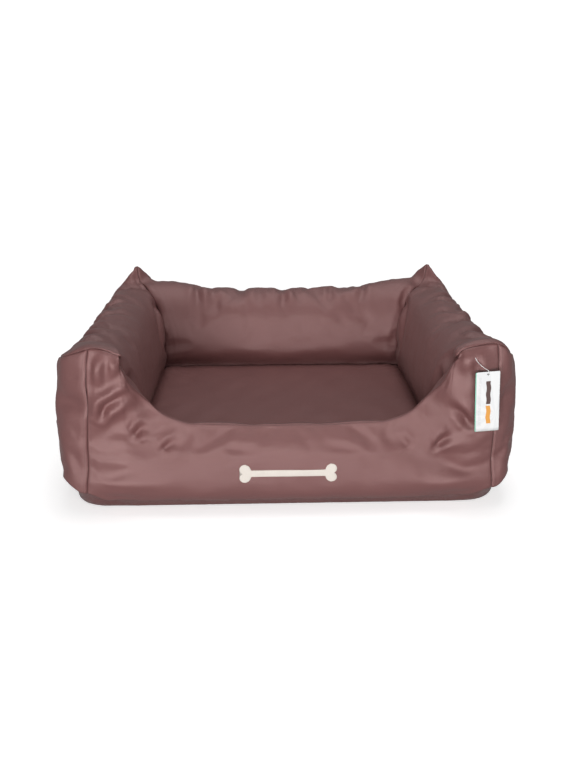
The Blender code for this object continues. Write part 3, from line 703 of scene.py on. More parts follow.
def sideOuter():
    # round the front corner on an arc, then along the side to the rear corner
    rows = np.linspace(0, 1, cover["wallRows"])[None, :]
    angle = np.linspace(0, math.pi / 2, cover["arcSteps"])[:, None]
    arcRun = angle * cover["corner"]
    z = sideHem(arcRun) + rows * (cover["rim"] - sideHem(arcRun))
    radius = cover["corner"] - wallInset(z)
    arc = np.stack([-seamX - radius * np.sin(angle), -seamY - radius * np.cos(angle), z], -1)
    share = np.linspace(0, 1, cover["sideSteps"] + 1)[1:, None]
    run = arcRun[-1] + share * (runEnd - runStart)
    z = sideHem(run) + rows * (cover["rim"] - sideHem(run))
    inset = wallInset(z)
    y = runStart + share * (outY - inset - runStart)
    side = np.stack([-outX + inset, y, z], -1)
    return np.concatenate([arc, side])


def sideInner():
    # rings across the bolster: the closed end eases into the crowned section, and the last is the mitre
    post, crown = postPath(), crownPath()
    rows = cover["pathRows"]
    angle = np.linspace(0, math.pi / 2, cover["arcSteps"])
    rimRadius = cover["corner"] - cover["rimInset"]
    share = np.linspace(0, 1, cover["sideSteps"] + 1)[1:]
    rimEnd = outY - cover["rimInset"]
    rimY = np.concatenate([-seamY - rimRadius * np.cos(angle), runStart + share * (rimEnd - runStart)])
    plainRim = np.full(len(share), cover["rimInset"])
    rimS = np.concatenate([cover["corner"] - rimRadius * np.sin(angle), plainRim])
    along = (rimY - rimY[0]) / (rimEnd - rimY[0])
    z = post[:, 1]
    v = np.clip((z - cover["hem"]) / (cover["rim"] - cover["hem"]), 0, 1)
    rim = cover["rimInset"]
    startY = -outY + np.where(np.arange(rows) < postRows, rim, frontDepth(v, rim))
    endY = outY - crown[:, 0]
    ease = smooth(along / 0.14)[:, None]
    s = post[None, :, 0] * (1 - ease) + crown[None, :, 0] * ease
    narrow = (cover["bolster"] - s) / (cover["bolster"] - s[:, :1])
    s = cover["bolster"] - narrow * (cover["bolster"] - rimS[:, None])
    z = post[None, :, 1] * (1 - ease) + crown[None, :, 1] * ease
    y = startY[None, :] + (endY - startY)[None, :] * along[:, None]
    y[:, 0] = rimY
    return np.stack([-outX + s, y, z], -1)


def backOuter():
    # straight across, with the belly's section, which over the zip starts higher and further out
    share = np.linspace(-1, 1, cover["backSteps"] + 1)[:, None]
    rows = np.linspace(0, 1, cover["wallRows"])[None, :]
    hem = backHem(share * outX)
    z = hem + rows * (cover["rim"] - hem)
    raised = (hem - cover["hem"]) / (cover["zipTop"] - cover["hem"])
    low = np.clip(1 - (z - hem) / cover["bellyHeight"], 0, 1)
    over = cover["zipInset"] * (1 - np.sqrt(1 - low**2)) + wallInset(np.maximum(z, 0.1))
    inset = wallInset(z) * (1 - raised) + over * raised
    return np.stack([share * (outX - inset), outY - inset, z], -1)


def backInner():
    # the crowned section carried across, its ends mitred
    crown = crownPath()
    share = np.linspace(-1, 1, cover["backSteps"] + 1)[:, None]
    s, z = crown[None, :, 0], crown[None, :, 1]
    return np.stack(np.broadcast_arrays(share * (outX - s), outY - s, z), -1)


def frontColumns():
    # even steps along the dipped edge, by its length
    x = clearX * np.sin(np.linspace(0, math.pi / 2, 400))
    edge = evenly(np.stack([x, entryTop(x)], 1), cover["flatSteps"] // 2 + cover["bendSteps"] + 1)
    half = edge[:, 0]
    half[-1] = clearX
    return np.concatenate([-half[:0:-1], half])


def spread(columns, v):
    # the columns fan out from even steps at the foot to their places along the dipped edge
    even = np.linspace(-clearX, clearX, columns.shape[0])[:, None]
    return even + (columns - even) * smooth((v - 0.15) / 0.85) ** 1.5


def frontOuter():
    # columns from the foot to the dipped edge, and plain ones up both posts
    inner = frontColumns()
    post = (outX - postPath()[:postRows, 0])[:-1, None]
    rows = np.linspace(0, 1, cover["wallRows"])[None, :]
    post = post + 0 * rows
    edge = np.concatenate([-post[:, :1], inner[:, None], post[::-1, :1]])
    x = np.concatenate([-post, spread(inner[:, None], rows), post[::-1]])
    z = frontHem(x) + rows * (entryTop(edge) - frontHem(x))
    stretch = (cover["rim"] - cover["hem"]) / (entryTop(edge) - cover["hem"])
    tall = cover["hem"] + (z - cover["hem"]) * stretch
    steep = smooth((np.abs(x) - clearX + 0.03) / 0.05)
    inset = wallInset(z * steep + tall * (1 - steep)) + frontLean(x, z)
    return np.stack(np.broadcast_arrays(x, -outY + inset, z), -1)


def frontInner():
    # the same columns on the inside, from the floor up to the knife edge
    edge = frontColumns()[:, None]
    z = postPath()[postRows - 1:, 1]
    v = ((z - cover["hem"]) / (cover["rim"] - cover["hem"]))[None, :]
    x = spread(edge, v)
    z = cover["hem"] + v * (entryTop(edge) - cover["hem"])
    return np.stack(np.broadcast_arrays(x, -outY + frontDepth(v, frontEdge(edge)), z), -1)


def mirrored(grid):
    return grid * np.array([-1, 1, 1])


def coverGrids():
    # every panel of the cover as a grid of points, with a direction that its outside faces
    outer, inner = sideOuter(), sideInner()
    return {
        "left_outer": (outer, (-1, 0, 0)),
        "right_outer": (mirrored(outer), (1, 0, 0)),
        "left_inner": (inner, (1, 0, 1)),
        "right_inner": (mirrored(inner), (-1, 0, 1)),
        "back_outer": (backOuter(), (0, 1, 0)),
        "back_inner": (backInner(), (0, -1, 1)),
        "front": (frontOuter(), (0, -1, 0)),
        "front_inner": (frontInner(), (0, 1, 0.3)),
    }


def weldGrids(grids):
    # one list of points for all the panels, shared along the seams, and each panel's point numbers
    flat = np.concatenate([grid.reshape(-1, 3) for grid, facing in grids.values()])
    first, number = np.unique(np.round(flat, 5), axis=0, return_index=True, return_inverse=True)[1:]
    number = number.reshape(-1)
    panels, start = {}, 0
    for name, (grid, facing) in grids.items():
        count = grid.shape[0] * grid.shape[1]
        index = number[start : start + count].reshape(grid.shape[:2])
        start += count
        across = np.cross(grid[1:, 1:] - grid[:-1, :-1], grid[:-1, 1:] - grid[1:, :-1])
        if (across @ np.array(facing)).sum() < 0:
            index = index[::-1]
        panels[name] = index
    return flat[first], panels


grids = coverGrids()
restPoints, panels = weldGrids(grids)
restPoints = warp(restPoints)
print("cover drafted:", len(restPoints), "points")


def neighbours(faces):
    # every pair of points joined by a quad's side, both ways round
    pairs = np.concatenate([faces[:, [0, 1]], faces[:, [1, 2]], faces[:, [2, 3]], faces[:, [3, 0]]])
    pairs = np.unique(np.sort(pairs, axis=1), axis=0)
    pairs = pairs[pairs[:, 0] != pairs[:, 1]]
    return np.concatenate([pairs, pairs[:, ::-1]])


def relaxed(values, pairs, rounds):
    # each value moves half way to its neighbours' mean, again and again
    count = len(values)
    degree = np.maximum(np.bincount(pairs[:, 0], minlength=count), 1)[:, None]
    values = np.array(values, float)
    for _ in range(rounds):
        sums = [np.bincount(pairs[:, 0], values[pairs[:, 1], k], minlength=count) for k in range(3)]
        values += 0.5 * (np.stack(sums, 1) / degree - values)
    return values


# The cover's stuffing pressure, from a short cloth simulation

cloth = {
    "pressure": 2.0,
    "frames": 18,
    "quality": 5,
    "tension": 15.0,
    "bending": 0.1,
    "gather": 0.04,
    "slackRounds": 60,        # what survives this much smoothing is the slow swelling
    "slowLimit": 0.006,       # and it is held to this; the rest is wrinkles
    "wrinkles": 1.25,
    "frontWrinkles": 0.6,
}
outerPanels = ("front", "left_outer", "right_outer", "back_outer")


def seamPoints():
    # the points on the edge of two panels or more
    used = np.zeros(len(restPoints), int)
    for index in panels.values():
        edge = np.zeros(len(restPoints), bool)
        for line in (index[0], index[-1], index[:, 0], index[:, -1]):
            edge[line] = True
        used += edge
    return used >= 2


def footPoints():
    foot = np.zeros(len(restPoints), bool)
    for name, index in panels.items():
        foot[index[:, 0] if name in outerPanels else index[:, -1]] = True
    return foot


def simulateCover(points, faces):
    # even pressure inside the cover, its feet pinned and its seams gathered
    scene = bpy.context.scene
    mesh = bpy.data.meshes.new("coverDraft")
    mesh.from_pydata(points.tolist(), [], faces.tolist())
    draft = bpy.data.objects.new("coverDraft", mesh)
    scene.collection.objects.link(draft)
    for name, chosen in (("pinned", footPoints()), ("gathered", seamPoints())):
        draft.vertex_groups.new(name=name).add(np.nonzero(chosen)[0].tolist(), 1.0, "REPLACE")
    modifier = draft.modifiers.new("cloth", "CLOTH")
    settings = modifier.settings
    settings.quality = cloth["quality"]
    settings.mass = 0.3
    settings.tension_stiffness = cloth["tension"]
    settings.compression_stiffness = cloth["tension"]
    settings.shear_stiffness = cloth["tension"] / 3
    settings.bending_stiffness = cloth["bending"]
    settings.air_damping = 2
    settings.use_pressure = True
    settings.uniform_pressure_force = cloth["pressure"]
    settings.effector_weights.gravity = 0
    settings.vertex_group_mass = "pinned"
    settings.vertex_group_shrink = "gathered"
    settings.shrink_min = 0
    settings.shrink_max = cloth["gather"]
    modifier.collision_settings.use_collision = False
    modifier.collision_settings.use_self_collision = False
    modifier.point_cache.frame_start = 1
    modifier.point_cache.frame_end = cloth["frames"] + 5
    for number in range(1, cloth["frames"] + 1):
        scene.frame_set(number)
    made = np.zeros(len(points) * 3, np.float32)
    draft.evaluated_get(bpy.context.evaluated_depsgraph_get()).data.vertices.foreach_get("co", made)
    scene.frame_set(1)
    bpy.data.objects.remove(draft)
    return made.reshape(-1, 3).astype(float)


faces = np.concatenate([gridFaces(index) for index in panels.values()])
pairs = neighbours(faces)
stuffed = restPoints.copy()
moved = simulateCover(restPoints, faces) - restPoints
slow = relaxed(moved, pairs, cloth["slackRounds"])
length = np.linalg.norm(slow, axis=1)[:, None] + 1e-9
limit = cloth["slowLimit"]
onFront = smooth((-0.20 - restPoints[:, 1]) / 0.06) * smooth((0.30 - np.abs(restPoints[:, 0])) / 0.06)
amount = cloth["wrinkles"] + (cloth["frontWrinkles"] - cloth["wrinkles"]) * onFront
stuffed += slow * np.tanh(length / limit) * limit / length
stuffed += amount[:, None] * relaxed(moved - slow, pairs, 2)
print("cover stuffed: mean move", round(float(np.linalg.norm(moved, axis=1).mean()), 4))


# The cover's panels: finer grids with sewn edges, gathers and creases

def pointNormals(points, faces):
    # the mean of the unit normals of the faces round each point
    across = quadFacings(points, faces)
    across /= np.linalg.norm(across, axis=1, keepdims=True) + 1e-12
    corner, facing = faces.reshape(-1), np.repeat(across, 4, axis=0)
    total = np.stack([np.bincount(corner, facing[:, k], minlength=len(points)) for k in range(3)], 1)
    return total / (np.linalg.norm(total, axis=1, keepdims=True) + 1e-12)


def readAt(grid, places, axis):
    # Catmull-Rom interpolation of a grid at fractional places along one axis
    count = grid.shape[axis]
    base = np.clip(np.floor(places).astype(int), 0, count - 2)
    t = (places - base).reshape([-1 if k == axis else 1 for k in range(grid.ndim)])
    weights = (
        -0.5 * t**3 + t**2 - 0.5 * t,
        1.5 * t**3 - 2.5 * t**2 + 1,
        -1.5 * t**3 + 2 * t**2 + 0.5 * t,
        0.5 * t**3 - 0.5 * t**2,
    )
    steps = zip((-1, 0, 1, 2), weights)
    return sum(weight * np.take(grid, np.clip(base + step, 0, count - 1), axis) for step, weight in steps)


def finePlaces(count, sewnStart, sewnEnd):
    # half steps, and closer ones beside a sewn edge
    margin = np.array([0, 0.10, 0.22, 0.40, 0.66])
    plain = np.array([0, 0.5])
    start = margin if sewnStart else plain
    end = margin if sewnEnd else plain
    return np.concatenate([start, np.arange(1, count - 1.75, 0.5), (count - 1 - end)[::-1]])


def edgeReach(grid, sewn):
    # the length along the cloth to the nearest sewn edge; sewn: start and end of axis 0, then of axis 1
    reach = np.full(grid.shape[:2], 1.0)
    for axis in (0, 1):
        step = np.linalg.norm(np.diff(grid, axis=axis), axis=2)
        start = np.zeros_like(step[:1] if axis == 0 else step[:, :1])
        along = np.concatenate([start, np.cumsum(step, axis=axis)], axis=axis)
        back = (along[-1:] if axis == 0 else along[:, -1:]) - along
        for wanted, length in zip(sewn[2 * axis : 2 * axis + 2], (along, back)):
            if wanted:
                reach = np.minimum(reach, length)
    return reach


seam = {
    "depth": 0.0022,
    "width": 0.0018,
    "gather": 0.0008,
    "gatherReach": 0.026,
    "thickness": 0.0010,
}


# folds on the front, each with its path in X and Z, its depth and its width
frontFolds = [
    ([(-0.322, 0.181), (-0.312, 0.204), (-0.284, 0.219), (-0.248, 0.222)], 0.012, 0.0085),
    ([(-0.270, 0.146), (-0.256, 0.160), (-0.232, 0.170)], 0.009, 0.0085),
    ([(-0.220, 0.121), (-0.204, 0.133), (-0.184, 0.138)], 0.006, 0.0075),
    ([(-0.303, 0.292), (-0.306, 0.262), (-0.312, 0.226)], 0.005, 0.0080),
    ([(-0.332, 0.290), (-0.336, 0.250), (-0.340, 0.200)], 0.004, 0.0080),
    ([(0.262, 0.118), (0.276, 0.134), (0.300, 0.148)], 0.009, 0.0085),
    ([(0.318, 0.160), (0.300, 0.182), (0.264, 0.202)], 0.012, 0.0085),
    ([(0.214, 0.122), (0.200, 0.134), (0.182, 0.140)], 0.005, 0.0080),
    ([(0.318, 0.285), (0.324, 0.250), (0.330, 0.205)], 0.005, 0.0085),
    ([(0.120, 0.118), (0.080, 0.124), (0.030, 0.120)], 0.002, 0.0100),
    ([(-0.110, 0.124), (-0.070, 0.118), (-0.020, 0.122)], 0.002, 0.0100),
]
# diagonal folds over each side wall's top: place along the wall, lean and depth
topFolds = [
    (-0.20, 0.05, 0.006),
    (-0.12, -0.04, 0.005),
    (-0.03, 0.06, 0.006),
    (0.06, 0.05, 0.006),
    (0.14, -0.04, 0.005),
    (0.20, 0.03, 0.005),
]
# puckers down the inside of the back: place across, lean, lower end and depth
backFolds = [
    (-0.20, 0.01, 0.20, 0.007),
    (-0.155, -0.01, 0.23, 0.005),
    (-0.05, 0.0, 0.22, 0.005),
    (0.0, 0.01, 0.20, 0.008),
    (0.035, 0.01, 0.23, 0.005),
    (0.12, -0.01, 0.22, 0.006),
    (0.20, -0.02, 0.21, 0.006),
]
folds = []


def addFold(panel, path, depth, width):
    folds.append({"panel": panel, "path": evenly(np.array(path, float), 24), "depth": depth, "width": width})


for path, depth, width in frontFolds:
    addFold("front", [(x, -outY + 0.004, z) for x, z in path], depth, width)
for side, sign in (("left", -1), ("right", 1)):
    for y, lean, depth in topFolds:
        crest = (sign * 0.345, y + 0.5 * lean, 0.290)
        over = [(sign * 0.395, y, 0.270), crest, (sign * 0.295, y + lean, 0.262)]
        addFold(side + "_inner", over, depth, 0.011)
    pucker = [(sign * 0.408, -0.26, 0.165), (sign * 0.411, -0.20, 0.150), (sign * 0.411, -0.14, 0.155)]
    addFold(side + "_outer", pucker, 0.004, 0.009)
    fromEar = [(sign * 0.290, 0.190, 0.255), (sign * 0.288, 0.130, 0.200), (sign * 0.284, 0.080, 0.150)]
    addFold(side + "_inner", fromEar, 0.007, 0.012)
for x, lean, low, depth in backFolds:
    down = [(x, 0.268, 0.282), (x + 0.4 * lean, 0.222, 0.272), (x + lean, 0.205, low)]
    addFold("back_inner", down, depth, 0.010)


def foldDepth(name, grid, normals):
    # minus depth times a Gaussian of the distance to the path, plus a third of it on both flanks; a fold
    # is deepest where its path starts
    depth = np.zeros(grid.shape[:2])
    for fold in folds:
        if fold["panel"] != name:
            continue
        path = fold["path"]
        offset = grid[:, :, None, :] - path
        along = (offset * normals[:, :, None, :]).sum(-1)
        distance = np.sqrt(np.maximum((offset**2).sum(-1) - 0.85 * along**2, 0))
        nearest = distance.argmin(axis=2)
        distance = distance.min(axis=2)
        t = nearest / (len(path) - 1)
        taper = np.minimum(smooth((1.05 - t) / 0.75), 0.35 + 0.65 * smooth(t / 0.15))
        width = fold["width"] * (0.7 + 0.6 * t)
        sink = np.exp(-((distance / width) ** 2))
        flank = np.exp(-(((distance - 1.9 * width) / (1.1 * width)) ** 2))
        depth += fold["depth"] * taper * (0.36 * flank - sink)
    return depth


def sewnPanel(name, index):
    # the panel's skin, its normals and its reach to the seams, on a grid twice as fine
    outside = name in outerPanels
    sewn = (True, True, not outside, outside)
    draft = np.concatenate([stuffed[index], stuffedNormals[index]], axis=2)
    fine = readAt(draft, finePlaces(index.shape[0], sewn[0], sewn[1]), 0)
    fine = readAt(fine, finePlaces(index.shape[1], sewn[2], sewn[3]), 1)
    grid, normals = fine[..., :3], fine[..., 3:]
    normals = normals / (np.linalg.norm(normals, axis=2, keepdims=True) + 1e-12)
    reach = edgeReach(grid, sewn)
    groove = -seam["depth"] * np.exp(-((reach / seam["width"]) ** 2))
    edge = grid[:, -1:] if outside else grid[:, :1]
    ripple = waves(7, 6, 0.011, 0.034, edge[..., 0], edge[..., 1])
    pull = seam["gather"] * (0.3 if name.startswith("front") else 1.0)
    gather = pull * ripple * np.exp(-((reach - 0.006) / seam["gatherReach"]) ** 2) * smooth(reach / 0.006)
    cross = waves(8, 6, 0.030, 0.085, grid[..., 0], grid[..., 1], grid[..., 2])
    dent = 0.0004 * cross * smooth(reach / 0.02)
    skin = grid + normals * (groove + gather + dent + foldDepth(name, grid, normals))[..., None]
    return skin, normals, reach


stuffedNormals = pointNormals(stuffed, faces)
skins = {}
for name, index in panels.items():
    skin, normals, reach = sewnPanel(name, index)
    skins[name] = (skin, normals)
    cad = {"front": ("front_panel",), "front_inner": ("front_inner_panel",)}.get(name, (name + "_panel",))
    quads = gridFaces(np.arange(reach.size).reshape(reach.shape))
    uv = gridLengths(skin).reshape(-1, 2)
    points = skin.reshape(-1, 3)
    piece = addPiece("cover_" + name, points, quads, "bed", paints["cover"], uv, cad)
    layer = piece.data.attributes.new("Seam", "FLOAT", "POINT")
    layer.data.foreach_set("value", reach.reshape(-1).astype(np.float32))
    thicken(piece, seam["thickness"])
print("panels sewn:", len(skins))


# The fibre filling inside each wall

filling = {
    "inset": 0.0075,
    "lump": 0.0016,
    "floor": 0.021,
    "frontEnd": 0.262,        # how far the front's filling reaches to each side
    "frontLoops": 120,
}


def fillRings(outer, inner):
    # rings down the outside and the inside of a wall, both moved inwards, with slow lumps
    walls = [(skin - normals * filling["inset"])[:, 4:-4:3] for skin, normals in (outer, inner)]
    ring = np.concatenate(walls, axis=1)
    ring[..., 2] = np.maximum(ring[..., 2], filling["floor"])
    away = ring - ring.mean(axis=1, keepdims=True)
    away /= np.linalg.norm(away, axis=2, keepdims=True) + 1e-9
    lumps = waves(5, 5, 0.03, 0.08, *np.moveaxis(ring, 2, 0))
    return ring + away * filling["lump"] * lumps[..., None]


def matchedFront():
    # columns of the front's outer skin, each with the one of the inner skin behind it
    wanted = (np.linspace(0, 1, filling["frontLoops"]) - 0.5) * 2 * filling["frontEnd"]
    matched = []
    for name, edge in (("front", -1), ("front_inner", 0)):
        skin, normals = skins[name]
        x = skin[:, edge, 0]
        order = 1 if x[-1] > x[0] else -1
        pick = np.rint(np.interp(wanted, x[::order], np.arange(len(x))[::order])).astype(int)
        matched.append((skin[pick], normals[pick]))
    return matched


def addFilling(side, rings):
    stand = (side + "_filling",)
    piece = addLoft(side + "_wadding", rings, "bed", paints["fibre"], stand)


for side in ("left", "right"):
    rings = fillRings(skins[side + "_outer"], skins[side + "_inner"])
    start, end = (9, -12) if rings[0, 0, 1] < 0 else (12, -9)
    addFilling(side, rings[start:end:2])
addFilling("back", fillRings(skins["back_outer"], skins["back_inner"])[12:-12:2])
addFilling("front", fillRings(*matchedFront()))
print("fillings placed")


# The base: a shallow tray of coarse canvas under the whole bed

tray = {
    "inset": 0.0190,
    "leftRadius": 0.062,
    "rightRadius": 0.066,
    "rearRadius": 0.030,
    "overlap": 0.005,
    "behind": 0.003,
    "thickness": 0.0012,
}


def roundedLoop(halfX, halfY, radii, count, centreY=0.0):
    # a closed loop with its own radius at each corner, from the rear right round by the front left
    turn = np.linspace(0, math.pi / 2, 17)[:, None]
    corners = []
    for quarter, radius in enumerate(radii):
        sx, sy = ((1, -1), (-1, -1), (-1, 1), (1, 1))[quarter]
        start = quarter * math.pi / 2
        middle = np.array([sx * (halfX - radius), sy * (halfY - radius)])
        angle = -turn - start
        corners.append(middle + radius * np.concatenate([np.cos(angle), np.sin(angle)], axis=1))
    loop = np.concatenate(corners + [corners[0][:1]])
    loop = evenly(loop, count + 1)[:-1]
    return loop + np.array([0, centreY])


def trayHem(x, y):
    # where the tray's edge goes under the cover's hem, by the place on the outline
    angle = np.arctan2(np.maximum(np.abs(x) - seamX, 0), np.maximum(-y - seamY, 1e-9))
    run = angle * cover["corner"] + np.maximum(y + seamY, 0)
    corner = cover["hem"] + 0.022 * smooth((np.abs(x) - seamX + 0.06) / 0.06)
    return np.where(np.abs(x) > seamX, sideHem(run), np.maximum(frontHem(x), corner))


def makeTray():
    # rings across the underside, then up the wall on a power curve to the edge behind the cover's hem
    count = 360
    half = (outX - tray["inset"], outY - tray["inset"])
    radii = (tray["rightRadius"], tray["leftRadius"], tray["rearRadius"], tray["rearRadius"])
    foot = roundedLoop(half[0], half[1], radii, count)
    wide = roundedLoop(outX, outY, (cover["corner"], cover["corner"], 0.012, 0.012), count)
    hem = trayHem(wide[:, 0], wide[:, 1])
    top = hem + tray["overlap"]
    inset = wallInset(top) + tray["behind"]
    inset = np.where(wide[:, 1] > seamY + 0.04, 0.0205, inset)
    size = np.stack([outX - inset, outY - inset], 1) / np.array([outX, outY])
    high = wide * size
    t = np.array([0.04, 0.16, 0.34, 0.55, 0.78, 1.0])[:, None, None]
    wall = foot + (high - foot) * t**1.5
    z = 0.0016 + (top - 0.0016)[None, :, None] * t
    wrinkle = waves(11, 6, 0.012, 0.05, wide[:, 0], wide[:, 1])[None, :, None] * 0.0006 * (1 - t)
    wall = np.concatenate([wall * (1 + wrinkle), z], axis=2)
    q = np.array([0.01, 0.12, 0.25, 0.4, 0.55, 0.7, 0.82, 0.91, 0.965, 0.99])[:, None, None]
    under = np.concatenate([foot * q, np.full((len(q), count, 1), 0.0012)], axis=2)
    under[-1, :, 2] = 0.0013
    rings = np.concatenate([under, wall])
    quads = ringQuads(len(rings), count)
    faces = quads.tolist() + [list(range(count))]
    points = rings.reshape(-1, 3)
    if quadFacings(points, quads)[: count * 5, 2].sum() > 0:
        faces = [face[::-1] for face in faces]
    along = np.concatenate([[0], np.cumsum(np.linalg.norm(np.diff(foot, axis=0), axis=1))])
    up = np.concatenate([-0.3 * (1 - q[:, 0, 0]), 0.002 + 0.03 * t[:, 0, 0]])
    uv = np.stack(np.broadcast_arrays(along[None, :], up[:, None]), -1)
    uv[: len(q) + 1] = rings[: len(q) + 1, :, :2]
    uv = uv.reshape(-1, 2)
    piece = addPiece("base_tray", points, faces, "bed", paints["base"], uv, ("base_panel",))
    thicken(piece, tray["thickness"])


def ringSheet(name, rings, body, paint, stand, thickness):
    # an open sheet from rings, closed in the middle and mapped by its plan; its outside is up, or down
    # where the thickness is negative
    count = rings.shape[1]
    quads = ringQuads(len(rings), count)
    points = rings.reshape(-1, 3)
    faces = quads.tolist() + [list(range(count))]
    if (quadFacings(points, quads)[:, 2].sum() < 0) == (thickness > 0):
        faces = [face[::-1] for face in faces]
    piece = addPiece(name, points, faces, body, paint, points[:, :2], stand)
    thicken(piece, abs(thickness))
    return piece


well = {
    "half": (0.385, 0.2925),
    "radii": (0.062, 0.058, 0.024, 0.024),
    "lining": 0.01385,        # height of the lining's top
    "liningThickness": 0.0008,
    "waddingLow": 0.0032,
    "waddingHigh": 0.0116,
}


def makeFloor():
    # a wadding slab and a thin lining over it, both gently uneven
    loop = roundedLoop(*well["half"], well["radii"], 220)
    q = np.array([0.01, 0.15, 0.3, 0.45, 0.6, 0.72, 0.83, 0.92, 0.97, 1.0])[:, None]
    x, y = loop[:, 0] * q, loop[:, 1] * q
    z = well["lining"] + 0.00022 * waves(21, 7, 0.02, 0.07, x, y)
    rings, stand = np.stack([x, y, z], -1), ("floor_lining",)
    ringSheet("well_lining", rings, "bed", paints["lining"], stand, well["liningThickness"])
    low = np.stack([x, y, well["waddingLow"] + 0 * x], -1)
    high = np.stack([x, y, well["waddingHigh"] + 0.0004 * waves(22, 6, 0.02, 0.06, x, y)], -1)
    loops = np.concatenate([low * [0.995, 0.995, 1], high[::-1] * [0.995, 0.995, 1]])
    addLoft("base_wadding", loops, "bed", paints["fibre"], ("floor_wadding",))


makeTray()
makeFloor()
print("base placed")


# The loose cushion

pad = {
    "halfX": 0.2820,
    "front": -0.2220,
    "rear": 0.1905,
    "radius": 0.030,
    "foot": 0.0150,
    "low": 0.0166,
    "seam": 0.0915,
    "crown": 0.0082,
    "zipEnd": 0.2306,
    "wrinkle": 0.0010,
    "thickness": 0.0009,
    "topLimit": 0.1022,
    "footLimits": (0.0149, 0.0164),
    "footWrinkle": 0.0002,
    "footThickness": 0.0008,
    # the foam core's section: distance in from the edge, and height
    "core": [
        (0.2, 0.018),
        (0.02, 0.018),
        (0.004, 0.0185),
        (0.003, 0.022),
        (0.003, 0.084),
        (0.004, 0.0875),
        (0.02, 0.090),
        (0.06, 0.0925),
        (0.2, 0.0935),
    ],
}
padMiddle = (pad["front"] + pad["rear"]) / 2
padHalfY = (pad["rear"] - pad["front"]) / 2


def padLoop(inset, count=320):
    # the cushion's rounded outline, moved inwards
    radius = pad["radius"] - min(inset, pad["radius"] * 0.7)
    return roundedLoop(pad["halfX"] - inset, padHalfY - inset, (radius,) * 4, count)


def padPlan(distance):
    # an inset loop near the edge, and a scaled one further in
    return padLoop(0) * (1 - distance / padHalfY) if distance > 0.03 else padLoop(distance)


def padRings(distances, heights, ripples):
    # rings at set distances from the edge, rippled near the seam and most at the corners
    edge = padLoop(0)
    cornerX = (pad["halfX"] - np.abs(edge[:, 0])) ** 2
    cornerY = (padHalfY - np.abs(edge[:, 1])) ** 2
    nearCorner = np.exp(-(cornerX + cornerY) / 0.055**2)
    rings = []
    for distance, height in zip(distances, heights):
        plan = padPlan(distance)
        ripple = waves(31, 7, 0.012, 0.04, edge[:, 0], edge[:, 1])
        fade = math.exp(-distance / 0.03) * min(1, distance / 0.006)
        slow = waves(32, 6, 0.06, 0.16, plan[:, 0], plan[:, 1]) * min(1, distance / 0.04)
        z = height + ripples * (ripple * fade * (0.35 + 1.5 * nearCorner) + 0.75 * slow)
        rings.append(np.stack([plan[:, 0], plan[:, 1] + padMiddle, z], -1))
    return np.array(rings[::-1])


nearEdge = [0.0012, 0.0022, 0.0036, 0.0058, 0.009, 0.013, 0.018, 0.024]
padDistances = np.concatenate([nearEdge, np.linspace(0.031, 0.2, 34)])


def makeCushionTop():
    # crowned: it rises from the seam by an exponential of the distance, with a groove along the seam
    rise = pad["crown"] * (1 - np.exp(-padDistances / 0.013))
    heights = pad["seam"] + 0.0004 + rise - 0.0006 * np.exp(-padDistances / 0.002)
    rings = padRings(padDistances, heights, pad["wrinkle"])
    rings[..., 2] = np.minimum(rings[..., 2], pad["topLimit"])
    stand = ("cushion_top_panel",)
    return ringSheet(
        "cushion_top", rings, "cushion", paints["cushion"], stand, pad["thickness"]
    )


def makeCushionBottom():
    # flat, with its edge turned up a little
    heights = pad["foot"] + 0.0010 * np.exp(-padDistances / 0.004)
    rings = padRings(padDistances, heights, pad["footWrinkle"])
    rings[..., 2] = np.clip(rings[..., 2], *pad["footLimits"])
    stand = ("cushion_bottom_panel",)
    return ringSheet(
        "cushion_bottom", rings, "cushion", paints["cushion"], stand, -pad["footThickness"]
    )


def borderPath():
    # round the cushion's edge from one end of its zip to the other, the long way
    loop = padLoop(0, 900)
    start = np.argmin(np.abs(loop[:, 0] - pad["zipEnd"]) + 10 * (loop[:, 1] < 0))
    rolled = np.roll(loop, -start, axis=0)
    if rolled[5, 0] < rolled[0, 0]:
        rolled = np.roll(rolled, -1, axis=0)[::-1]
    end = np.argmin(np.abs(rolled[:, 0] + pad["zipEnd"]) + 10 * (rolled[:, 1] < 0))
    return evenly(rolled[: end + 1], 300)


def makeCushionBorder():
    # the path carried up the side, bulged between its two seams and still beside the zip
    path = borderPath()
    away = np.stack([np.gradient(path[:, 1]), -np.gradient(path[:, 0])], 1)
    away /= np.linalg.norm(away, axis=1, keepdims=True)
    if (away * path).sum() < 0:
        away = -away
    rows = np.array([0, 0.02, 0.05, 0.1, 0.2, 0.32, 0.45, 0.58, 0.7, 0.8, 0.9, 0.95, 0.98, 1.0])
    edge = np.minimum(rows, 1 - rows) * (pad["seam"] - pad["low"])
    bulge = 0.0010 * (1 - np.exp(-edge / 0.012)) - 0.0016 * np.exp(-edge / 0.0012)
    wave = waves(33, 6, 0.02, 0.07, path[:, 0], path[:, 1])[:, None] * 0.0007 * (1 - np.exp(-edge / 0.006))
    still = smooth((0.27 - np.abs(path[:, :1])) / 0.02) * (path[:, 1:] > 0)
    offset = (bulge + wave) * (1 - still) - 0.0002
    grid = np.zeros((len(path), len(rows), 3))
    grid[..., :2] = path[:, None, :] + away[:, None, :] * offset[..., None]
    grid[..., 1] += padMiddle
    grid[..., 2] = pad["low"] + rows * (pad["seam"] - pad["low"])
    index = np.arange(offset.size).reshape(offset.shape)
    if (gridNormals(grid)[..., :2] * grid[..., :2]).sum() < 0:
        index = index[::-1]
    points, uv = grid.reshape(-1, 3), gridLengths(grid).reshape(-1, 2)
    stand = ("cushion_border",)
    border = addPiece(
        "cushion_side", points, gridFaces(index), "cushion", paints["cushion"], uv, stand
    )
    thicken(border, pad["thickness"])
    return border


